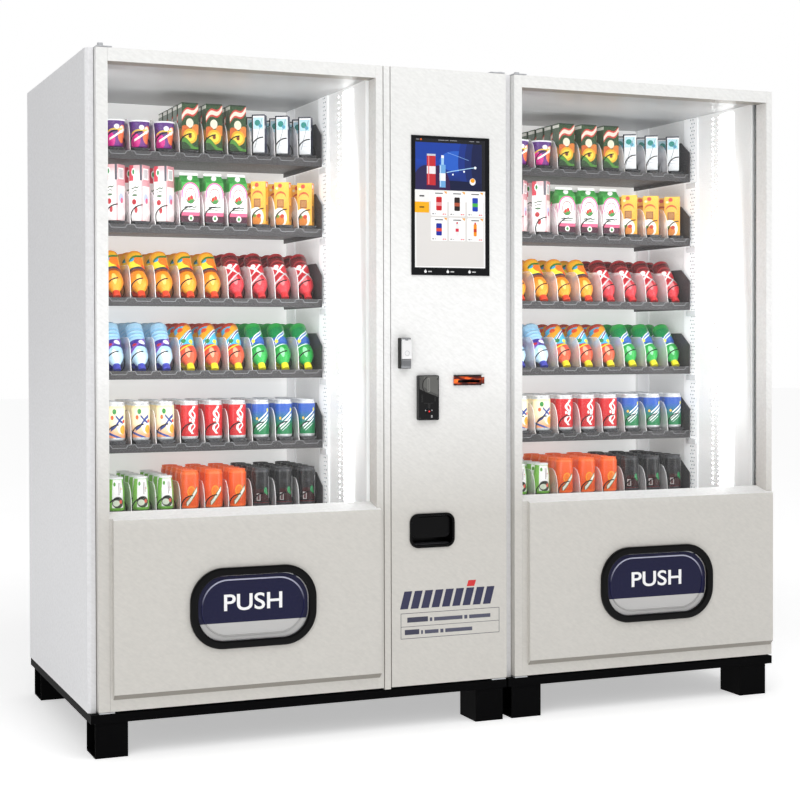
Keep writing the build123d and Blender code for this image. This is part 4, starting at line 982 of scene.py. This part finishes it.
def inside(unit):
    """The lamps' dots on the walls, the holes in the tray rails as grey discs of painted shade, and the
    brackets under the trays.
    """
    low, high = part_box(f"{unit}_tray_1")
    strips_low, strips_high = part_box("light_strips")
    rails_low, rails_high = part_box("tray_rails")
    strip_y = (strips_low.y + strips_high.y) / 2
    dots, holes, brackets = Shape(), Shape(), Shape()

    def proud(start, depth):
        """Where something that stands proud of a wall starts and ends, from left to right."""
        return sorted((start, start + depth * MM * inwards))

    for wall, inwards in ((low.x - WALL_GAP, 1), (high.x + WALL_GAP, -1)):
        rail = wall + RAIL_THICK * inwards
        for z in middles(strips_low.z, strips_high.z, LAMP_ROWS):
            for y in LAMP_COLUMNS:
                dots.prism(disc(2.6 * MM, (strip_y + y, z), 6), *proud(wall, 1.2), "X")
        for row, z in enumerate(middles(rails_low.z, rails_high.z, HOLE_ROWS)):
            for y in HOLE_COLUMNS:
                stagger = 7 * MM * (row % 2)
                holes.prism(disc(2.8 * MM, (rails_low.y + y + stagger, z), 6), *proud(rail, 0.4), "X")
        for number in TRAYS:
            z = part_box(f"{unit}_tray_{number}")[0].z - BRACKET_DROP
            if z > strips_low.z:
                left, right = proud(rail, 6)
                front, back = (rails_low.y + y for y in BRACKET_Y)
                brackets.box((left, front, z - BRACKET_HALF), (right, back, z + BRACKET_HALF))
    show(f"{unit}_lamp_dots", dots, [led], "cabinets")
    show(f"{unit}_rail_holes", holes, [hole_shade_and_print], "cabinets")
    show(f"{unit}_tray_brackets", brackets, [bracket_white], "cabinets", bevel=1 * MM)


def spread(start, end, count):
    """Evenly spaced values from start to end."""
    return [start + (end - start) * step / (count - 1) for step in range(count)]


PLATE_SIZE = (96 * MM, 64 * MM)


def rear(unit):
    """Screws round the rear sheet, and a rating plate whose lines say nothing."""
    low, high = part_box(f"{unit}_cabinet")
    grille_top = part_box("rear_grilles")[1].z
    sheet, edge = high.y, 42 * MM
    left, right, bottom, top = low.x + edge, high.x - edge, low.z + 20 * MM, high.z - edge
    spots = [(x, z) for x in (left, right) for z in spread(bottom, top, 8)]
    spots += [(x, z) for z in (top, grille_top + edge) for x in spread(left, right, 7)[1:-1]]
    head, proud, slot_long, slot_thin = 5 * MM, sheet + 1.6 * MM, 3.4 * MM, 0.6 * MM
    screws = Shape()
    for x, z in spots:
        screws.prism(disc(head, (x, z), 12), sheet, proud)
        # Each slot is a thin dark plate: painted shade in the screw slot.
        for wide, tall in ((slot_long, slot_thin), (slot_thin, slot_long)):
            screws.prism(rect(x - wide, x + wide, z - tall, z + tall), proud, proud + 0.1 * MM, mark=1)
    show(f"{unit}_rear_screws", screws, [zinc, hole_shade_and_print], "cabinets")

    x0, z0 = left + 60 * MM, grille_top + 110 * MM
    face = sheet + 0.6 * MM
    plate = Shape()
    plate.prism(rect(x0, x0 + PLATE_SIZE[0], z0, z0 + PLATE_SIZE[1]), sheet, face)
    for number, length in enumerate((60, 78, 44, 70, 52)):
        x, z = x0 + 8 * MM, z0 + (8 + 11 * number) * MM
        plate.prism(rect(x, x + length * MM, z, z + 4 * MM), face, face + 0.1 * MM, mark=1)
    show(f"{unit}_rating_plate", plate, [plate_silver, hole_shade_and_print], "cabinets")


for unit in UNITS:
    inside(unit)
    rear(unit)


# Fronts: screen, lock, coin plate, cup, flaps and label ---------------------------------------------

HANDLE_PROUD = 34  # the lever's front, which is the foremost thing on the machine


def at(x, y, z):
    """A place given in mm from the machine's left side, from the doors' face and from the floor."""
    return Vector((cad_low.x + x * MM, cad_low.y + (HANDLE_PROUD + y) * MM, z * MM))


inks = {}


def ink(code, glow=0.0, rough=0.3, metallic=0.0):
    """A printed, moulded or lit colour, made once for each use."""
    key = (code, glow, rough, metallic)
    if key not in inks:
        name = f"ink_{code:06x}_{len(inks)}"
        inks[key] = surface(name, rgb(code), rough, 800.0, 0.01, metallic, coat=0.2, glow=glow)
    return inks[key]


def moved(outline, x, z):
    return [(a + x, b + z) for a, b in outline]


def decals(name, body, face, items, about=(0, 0), glow=0.0, rough=0.3, metallic=0.0, lift=0.15):
    """Thin plates on an upright face. items are (outline in mm from the place about, level, colour)."""
    codes = sorted({code for _, _, code in items})
    back = at(0, face, 0).y
    shape = Shape()
    for outline, level, code in items:
        points = [(at(x, 0, z).x, at(x, 0, z).z) for x, z in moved(outline, *about)]
        shape.prism(points, back - lift * (level + 1) * MM, back, mark=codes.index(code))
    show(name, shape, [ink(code, glow, rough, metallic) for code in codes], body)


def ring(outline, hole):
    """The outline with a hole of the same number of points, as four-sided pieces."""
    count = len(outline)
    return [[outline[i], outline[(i + 1) % count], hole[(i + 1) % count], hole[i]] for i in range(count)]


def line(points, width, closed=False):
    """A line of one width, as one four-sided piece for each stretch."""
    pairs = list(zip(points, points[1:] + points[:1])) if closed else list(zip(points, points[1:]))
    pieces = []
    for a, b in pairs:
        a, b = Vector(a), Vector(b)
        along = (b - a).normalized()
        across = along.orthogonal() * (width / 2)
        a, b = a - along * width * 0.3, b + along * width * 0.3
        pieces.append([tuple(a - across), tuple(b - across), tuple(b + across), tuple(a + across)])
    return pieces


SCREEN_X, SCREEN_Z = (951, 1203.5), (1332.5, 1742)
SCREEN_FACE = -3


def on_screen(u, v):
    """A place given in hundredths of the screen, across and down."""
    (left, right), (bottom, top) = SCREEN_X, SCREEN_Z
    return left + (right - left) * u / 100, top - (top - bottom) * v / 100


def screen():
    items = []

    def put(u0, u1, v0, v1, level, code, radius=0.0):
        (x0, z1), (x1, z0) = on_screen(u0, v0), on_screen(u1, v1)
        outline = rect(x0, x1, z0, z1)
        if radius:
            outline = rounded(x1 - x0, z1 - z0, radius, ((x0 + x1) / 2, (z0 + z1) / 2), 4)
        items.append((outline, level, code))

    def card(u0, u1, v0, v1, pack, band, is_bottle):
        """A product: its corner flag, its name and price as plain bars, and a can or a bottle."""
        put(u0, u1, v0, v1, 2, 0xFAFAF9, 4)
        x, z = on_screen(u1 - 0.4, v0 + 0.2)
        items.append(([(x - 10, z), (x - 1, z - 8), (x, z - 1), (x - 1, z)], 3, 0xF2A41C))
        middle = (u0 + u1) / 2
        put(middle - 5, middle + 5, v0 + 1.3, v0 + 2, 3, 0x5A5A5C)
        put(u0 + 1.8, u0 + 4.2, v1 - 1.6, v1 - 1, 3, 0x6A6A6C)
        put(u0 + 5.5, u0 + 6.6, v1 - 1.6, v1 - 1, 3, 0x9A9A9C)
        put(u1 - 5.8, u1 - 3.6, v1 - 1.6, v1 - 0.9, 3, 0xE8434A)
        put(u1 - 2.8, u1 - 1.4, v1 - 1.6, v1 - 0.9, 3, 0xE8434A)
        half = 2 if is_bottle else 3.6
        low, high = v0 + 4.2, v1 - 3.8
        put(middle - half, middle + half, low, high, 3, pack, 3)
        put(middle - half, middle + half, low + (high - low) * 0.40, low + (high - low) * 0.66, 4, band)
        if is_bottle:
            put(middle - 1, middle + 1, low - 1.2, low + 0.2, 3, 0xD8304A, 1)

    put(4.3, 94.4, 2, 38.8, 0, 0x1B1C22)
    put(4.3, 94.4, 38.8, 94.5, 0, 0xF4F3F2)
    put(6, 92.5, 47, 93.5, 1, 0xDFDCD9)
    put(4.3, 22, 39.2, 47.5, 2, 0xF1F0EE)
    put(4.3, 22.2, 47.5, 55.2, 2, 0xF2AE16)
    put(10, 16, 42.8, 43.8, 3, 0x3A3A3A)
    put(10, 16, 50.8, 51.8, 3, 0x6A4A10)
    columns = ((24.3, 45.2), (47.5, 68.5), (70.8, 91.8))
    rows = ((39.4, 57.2), (58.4, 75.2))
    products = (
        ((0xC81E28, 0xE89A9E, False), (0x2A2020, 0xB0543A, False), (0x1F3FB0, 0x49B04A, False)),
        ((0x1E2E9C, 0xE04A3A, False), (0xEDEDED, 0xD8304A, True), (0xF2921E, 0xC83A20, True)),
    )
    for row, three in zip(rows, products):
        for across, product in zip(columns, three):
            card(*across, *row, *product)
    for u in (17.5, 46, 74):
        x, z = on_screen(u, 97.4)
        items.append((disc(4.2, (x, z), 12), 1, 0xF2F2F2))
        items.append(([(x, z + 6.6), (x + 2.6, z + 2.6), (x - 2.6, z + 2.6)], 1, 0xF2F2F2))
        put(u + 3.5, u + 8, 97, 97.8, 1, 0xC9C9C9)
    for u0, u1 in ((6, 10), (34, 42), (43, 47), (49, 58), (74, 80), (83, 87)):
        put(u0, u1, 2.6, 3.1, 1, 0x8A8A8E)
    put(11.2, 13, 2.2, 3.4, 1, 0xE8661E)
    decals("screen_picture", "control_panel", SCREEN_FACE, items, glow=0.06, rough=0.2)


def advert():
    """A drink's can and bottle before blue light, without names or people."""
    (x0, z0), (x1, z1) = on_screen(5, 38.8), on_screen(90, 4.8)
    low, high = at(x0, SCREEN_FACE - 0.4, z0), at(x1, SCREEN_FACE - 0.15, z1)
    banner = Shape()
    banner.prism(rect(low.x, high.x, low.z, high.z), low.y, high.y)
    picture = art("banner_print", 0x15235A,
        fade(5, 75, 0x1F48B4), oval(30, 95, 62, 34, 0x1A3F9E), oval(62, 62, 26, 22, 0x2A5FC4),
        oval(100, 60, 36, 90, 0x1B3484), oval(102, 60, 28, 85, 0x182A66),
        oval(104, 60, 20, 80, 0x151E48), oval(50, -5, 90, 26, 0x10183C),
        wave(36, 34, 3, 50, 0.8, 46, 92, 0xA9D4F4), wave(76, -42, 3, 50, 0.5, 48, 80, 0x7FA9E0),
        oval(56, 34, 1.2, 2, 0xF4FAFF), oval(73, 41, 1.3, 2.2, 0xF4FAFF),
        oval(90, 50, 1.8, 3, 0xF4FAFF), oval(16, 10, 20, 42, 0x2A2450), oval(34, 2, 18, 50, 0x381C48),
        box(17, 30, 10, 74, 0xC22C34), box(17, 30, 34, 50, 0xEDE6E8), box(17, 30, 72, 76, 0xC8CCD4),
        box(19, 20.5, 12, 72, 0xE8787C), box(36, 45, 6, 54, 0x6FA8DC),
        box(38.5, 42.5, 54, 70, 0x9CC8EC), box(38.5, 42.5, 68, 74, 0xF0F2F6),
        box(36, 45, 20, 36, 0xF2F2F6), box(37, 38, 8, 52, 0xCFE4F6), oval(86, 20, 4.5, 7.5, 0xF2F2F4),
        oval(86, 22.5, 3.3, 4.5, 0xF0A01E), rough=0.15, glow=0.1)
    show("screen_banner", banner, [picture], "control_panel")


LOCK = (924, 1103)


def lock():
    plate = [(rounded(30, 88, 2.5, steps=4), 1, 0xB9BBBF)]
    decals("lock_front", "control_panel", -23, plate, LOCK, rough=0.25, metallic=0.6)
    ribs = [(rect(-12.4, 12.4, z, z + 1.1), 0, 0x5E5F63) for z in (-35.5, -32.5, -29.5, -26.5, -23.5)]
    decals("lock_button_ribs", "lock_release", -31, ribs, LOCK, lift=0.5)
    circle = Shape()
    circle.tube([at(x, -34, z) for x, z in disc(7, (LOCK[0] - 0.5, LOCK[1]), 24)], 0.45 * MM, 6, closed=True)
    show("lever_circle", circle, [ink(0x9A9CA2)], "lock_lever")
    edges = Shape()
    for x in (-12.5, 12.5):
        edges.tube([at(LOCK[0] + x, -23.4, LOCK[1] + z) for z in (-42.2, 17.8)], 0.5 * MM)
    show("lock_edges", edges, [ink(0x6B6C70)], "control_panel")


COIN_PLATE = (1000, 972)


def coin_plate():
    """The plate's lighter field with a painted highlight on it, coin slot and the curved groove drawn as a
    line of painted shade, screws, small slots, lights and border.
    """
    field = [(-30.5, 63.5), (-29, 26), (-20, 21.5), (-8, 16.5), (6, 11), (20, 6), (30.5, 1.5), (30.5, 63.5)]
    # A lighter patch on the field is a painted highlight.
    painted_highlight = [(-16, 63.5), (-16, 32), (3, 20), (30.5, 8), (30.5, 63.5)]
    items = [(field, 0, 0x4E4E4C), (painted_highlight, 1, 0x62625F)]
    # The curved groove is a dark line: painted shade.
    angles = [math.radians(a) for a in range(118, 236, 6)]
    arc = [(7.8 + 27.5 * math.cos(a), 36 + 27.5 * math.sin(a)) for a in angles]
    items += [(line([a, b], 2.0)[0], 2, 0x0E0E0F) for a, b in zip(arc, arc[1:])]
    surround = ring(rect(-3.8, 3.8, 17.5, 57.5), rect(-1.7, 1.7, 20, 55))
    items += [(piece, 2, 0x858581) for piece in surround]
    for x, z in ((-28.5, 55), (28.5, 55), (20, 6), (-28.5, -60), (28.5, -60)):
        items += [(disc(2.1, (x, z), 12), 2, 0x0B0B0B)]
        items += [(rect(x - 1.4, x + 1.4, z - 0.3, z + 0.3), 3, 0x6E6E6E)]
    items += [(rect(-23.5, -18.5, -13, 10), 1, 0x060606), (rect(18, 23, -11, 3), 1, 0x060606)]
    items += [([(-4, -16), (-1.5, -34), (3.5, -34), (6, -16)], 1, 0x050505)]
    items += [(rect(-15, 14, -16.4, -15.6), 1, 0x3C3C3C)]
    items += [(disc(1.8, (x, -37)), 1, 0xD9D9D9) for x in (-10, 10)]
    items += [(rect(7, 12, -59, -51), 1, 0x9B9B9B)]
    items += [(piece, 1, 0x3E3E40) for piece in line(rounded(64, 130, 4, steps=4), 0.8, closed=True)]
    decals("coin_plate_face", "control_panel", -14, items, COIN_PLATE, rough=0.22)
    decals("reject_light", "coin_reject", -18, [(disc(2.4, (0, -40), 14), 1, 0xD01414)], COIN_PLATE, glow=1.2)


CUP_CENTRE = (1015.5, 580.5)
CUP_RIM = (138, 96)
LEDGE_X = (955, 1076)


def cup_parts():
    """The moulded ledge on the cup's floor, and the bead round its rim."""
    low, high = (at(x, 8, 537.4) for x in LEDGE_X)
    profile = [(0, 0), (49, 0), (49, 6), (24, 6), (10, 5), (3, 3), (0, 1)]
    ledge = Shape()
    ledge.prism([(low.y + a * MM, low.z + b * MM) for a, b in profile], low.x, high.x, "X")
    show("cup_ledge", ledge, [ink(0x2E2E31, 0.0, 0.25)], "control_panel", bevel=0.8 * MM)
    rim = Shape()
    rim.tube([at(x, -5.4, z) for x, z in rounded(*CUP_RIM, 23.5, CUP_CENTRE)], 1.6 * MM, 8, closed=True)
    show("cup_rim_bead", rim, [cup_black], "control_panel")


READER_END = (1175, 1007)  # where the lens ends and the white end piece starts


def reader():
    items = [(rect(-89, 9.5, 28.6, 31), 0, 0x0A0A0A), (rect(0, 9.5, 24.5, 31), 1, 0xE9E9E7)]
    items += [(rect(0, 9.5, 0, 3.4), 1, 0xE9E9E7), (rect(-1.6, 0, 0, 31), 1, 0x120404)]
    decals("reader_frame", "control_panel", -6, items, READER_END)


BEZEL_RIM = 22 * MM
OVAL_INSET = 13 * MM
# Where the rim's painted highlight starts above the middle, and how tall its fade is.
HIGHLIGHT_RISE, HIGHLIGHT_TALL = 10 * MM, 62 * MM


def flap(unit):
    """The raised oval of the flap, the painted highlight along its upper rim, and the word on it."""
    low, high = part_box(f"{unit}_pickup_bezel")
    middle = (low + high) / 2
    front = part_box(f"{unit}_pickup_flap")[0].y
    mouth = high.x - low.x - 2 * BEZEL_RIM
    tall = high.z - low.z - 2 * (BEZEL_RIM + OVAL_INSET)
    outline = rounded(mouth - 2 * OVAL_INSET, tall, tall / 2 * 0.96, (middle.x, middle.z), 12)
    tree = Tree(f"{unit}_flap_rim")
    painted_highlight = middle.z + HIGHLIGHT_RISE
    up = tree.ramp(tree.axis("Z"), painted_highlight, painted_highlight + HIGHLIGHT_TALL)
    above = tree.calc("GREATER_THAN", tree.axis("Z"), middle.z - NAVY_DROP)
    # The rim's top is light lavender: a painted highlight, fading in upwards.
    colour = tree.mix(up, tree.mix(above, rgb(0xAEADAC), rgb(0x1C1D46)), rgb(0xBFC0D6))
    tree.set("Specular IOR Level", 0.25)
    bead = Shape()
    bead.tube([(x, front - 0.4 * MM, z) for x, z in outline], 2.2 * MM, 8, closed=True)
    show(f"{unit}_flap_bead", bead, [finish_of(tree, colour, 0.25, 700.0, 0.01)], f"{unit}_flap")
    place = Vector((middle.x - 1 * MM, front - 0.6 * MM, middle.z + 12 * MM))
    push_word(unit, place, math.sqrt(mouth / WORD_MOUTH))


WORD_WIDTH, WORD_HEIGHT = 171 * MM, 47 * MM
WORD_MOUTH = 326 * MM  # the mouth's width that the word's width is given for


def push_word(unit, place, stretch):
    """The raised word on a flap, drawn with the default font and brought to its size."""
    curve = bpy.data.curves.new(f"{unit}_push", "FONT")
    curve.body = "PUSH"
    curve.align_x, curve.align_y = "CENTER", "CENTER"
    curve.size, curve.extrude, curve.offset = 66 * MM, 0.4 * MM, 0.8 * MM
    text = bpy.data.objects.new(f"{unit}_push_text", curve)
    mesh = bpy.data.meshes.new_from_object(text)
    xs, ys = [v.co.x for v in mesh.vertices], [v.co.y for v in mesh.vertices]
    wide, tall = WORD_WIDTH * stretch / (max(xs) - min(xs)), WORD_HEIGHT / (max(ys) - min(ys))
    upright = Matrix.Translation(place) @ Matrix.Rotation(math.radians(90), 4, "X")
    mesh.transform(upright @ Matrix.Diagonal((wide, tall, 1, 1)))
    mesh.materials.append(ink(0xF7F7F8))
    word = bpy.data.objects.new(f"{unit}_push_word", mesh)
    bpy.context.scene.collection.objects.link(word)
    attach(word, f"{unit}_flap")
    bpy.data.objects.remove(text)


DEVICE = (913, 352)
NOTE, NOTE_SIZE, NOTE_RULE = (916, 265), (319, 74), 35


def label():
    """A plain printed device and a framed note: slanted bars and greeked lines, without words."""
    items = []
    bar, tall, pitch, slant = 25, 52, 33.5, 14
    gap, dot = 4, 18
    for index in range(9):
        x, z = DEVICE[0] + pitch * index, DEVICE[1]
        corners = [(0, 0), (bar, 0), (bar + slant, tall), (slant, tall)]
        items.append((moved(corners, x, z), 0, 0x1E1F48))
        if index == 6:
            shift = slant * (gap + dot) / tall
            corners = [(0, gap), (bar, gap), (bar + shift, gap + dot), (shift, gap + dot)]
            items.append((moved(corners, x + slant, z + tall), 0, 0xD21E24))
    width, height = NOTE_SIZE
    border = line(rect(0, width, 0, height), 1.6, closed=True)
    rule = line([(0, NOTE_RULE), (width, NOTE_RULE)], 1.4)
    items += [(moved(outline, *NOTE), 0, 0x5A5A60) for outline in border + rule]
    for z, x, lengths in ((47, 20, (66, 8, 92, 10, 70)), (11, 12, (46, 6, 44, 10, 88))):
        for index, length in enumerate(lengths):
            high, code = (11, 0x4A4B60) if index else (15, 0x2F3048)
            items.append((moved(rect(x, x + length, z, z + high), *NOTE), 0, code))
            x += length + 6
    decals("label_print", "control_panel", 0, items, rough=0.4)


screen()
advert()
lock()
coin_plate()
cup_parts()
reader()
label()
for unit in UNITS:
    flap(unit)


# Floor, light and camera ---------------------------------------------------------------------------

WORLD_LIGHT = 0.40


def soft_light(name, place, target, size, power):
    data = bpy.data.lights.new(name, "AREA")
    data.shape = "RECTANGLE"
    data.size, data.size_y = size
    data.energy = power
    light = bpy.data.objects.new(name, data)
    light.location = place
    light.visible_camera = light.visible_glossy = False
    light.rotation_euler = (Vector(target) - Vector(place)).to_track_quat("-Z", "Y").to_euler()
    bpy.context.scene.collection.objects.link(light)


def studio():
    scene = bpy.context.scene
    scene.view_settings.view_transform = "Standard"
    world = bpy.data.worlds.new("studio")
    world.use_nodes = True
    nodes, links = world.node_tree.nodes, world.node_tree.links
    background = nodes["Background"]
    background.inputs["Color"].default_value = (1, 1, 1, 1)
    path = nodes.new("ShaderNodeLightPath")
    strength = nodes.new("ShaderNodeMapRange")
    strength.inputs["To Min"].default_value = WORLD_LIGHT
    strength.inputs["To Max"].default_value = 1.0
    links.new(path.outputs["Is Camera Ray"], strength.inputs["Value"])
    links.new(strength.outputs[0], background.inputs["Strength"])
    scene.world = world
    soft_light("key", (-3.0, -5.0, 4.0), (0, 0, 1.0), (3.5, 3.5), 82)
    soft_light("top", (0.5, -2.5, 4.5), (0, 0, 0.8), (4.0, 3.0), 60)
    soft_light("left", (-6.0, 0.0, 2.5), (-1.1, 0, 1.0), (3.0, 3.0), 12)
    for unit in UNITS:
        low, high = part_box(f"{unit}_door_glass")
        middle = (low + high) / 2
        behind_glass = Vector((middle.x, high.y + 0.03, middle.z))
        size = (high.x - low.x - 0.1, high.z - low.z - 0.35)
        soft_light(f"{unit}_inside", behind_glass, middle + Vector((0, 1, -0.05)), size, 4)
    floor = Shape()
    floor.box((-30, -30, -0.02), (30, 30, 0))
    tree = Tree("floor_white")
    tree.set("Emission Color", (1, 1, 1, 1))
    x, y = tree.axis("X"), tree.axis("Y")
    away = tree.calc("SQRT", tree.fit(x, x, tree.times(y, y)))
    tree.set("Emission Strength", tree.fit(tree.ramp(away, 2.0, 4.0), 0.12, 0.47))
    piece = show("floor", floor, [finish_of(tree, rgb(0xF6F6F6), 0.75, 30.0, 0.02)], "cabinets")
    piece.parent = None


def photo_camera():
    """Looks at the machine's left front corner, a little down, from standing height."""
    yaw, pitch, roll = (math.radians(a) for a in (22.516, 0.763, -0.129))
    ahead = Vector((math.sin(yaw) * math.cos(pitch), math.cos(yaw) * math.cos(pitch), -math.sin(pitch)))
    right = Vector((math.cos(yaw), -math.sin(yaw), 0))
    up = right.cross(ahead)
    side = math.cos(roll) * right + math.sin(roll) * up
    top = -math.sin(roll) * right + math.cos(roll) * up
    data = bpy.data.cameras.new("camera")
    data.sensor_width = 36
    data.lens = 74.44
    data.shift_y = -0.0424
    data.clip_end = 60
    camera = bpy.data.objects.new("camera", data)
    turned = Matrix((side, top, -ahead)).transposed().to_4x4()
    camera.matrix_world = Matrix.Translation((-2.0447, -4.9128, 1.1299)) @ turned
    bpy.context.scene.collection.objects.link(camera)
    bpy.context.scene.camera = camera


studio()
photo_camera()
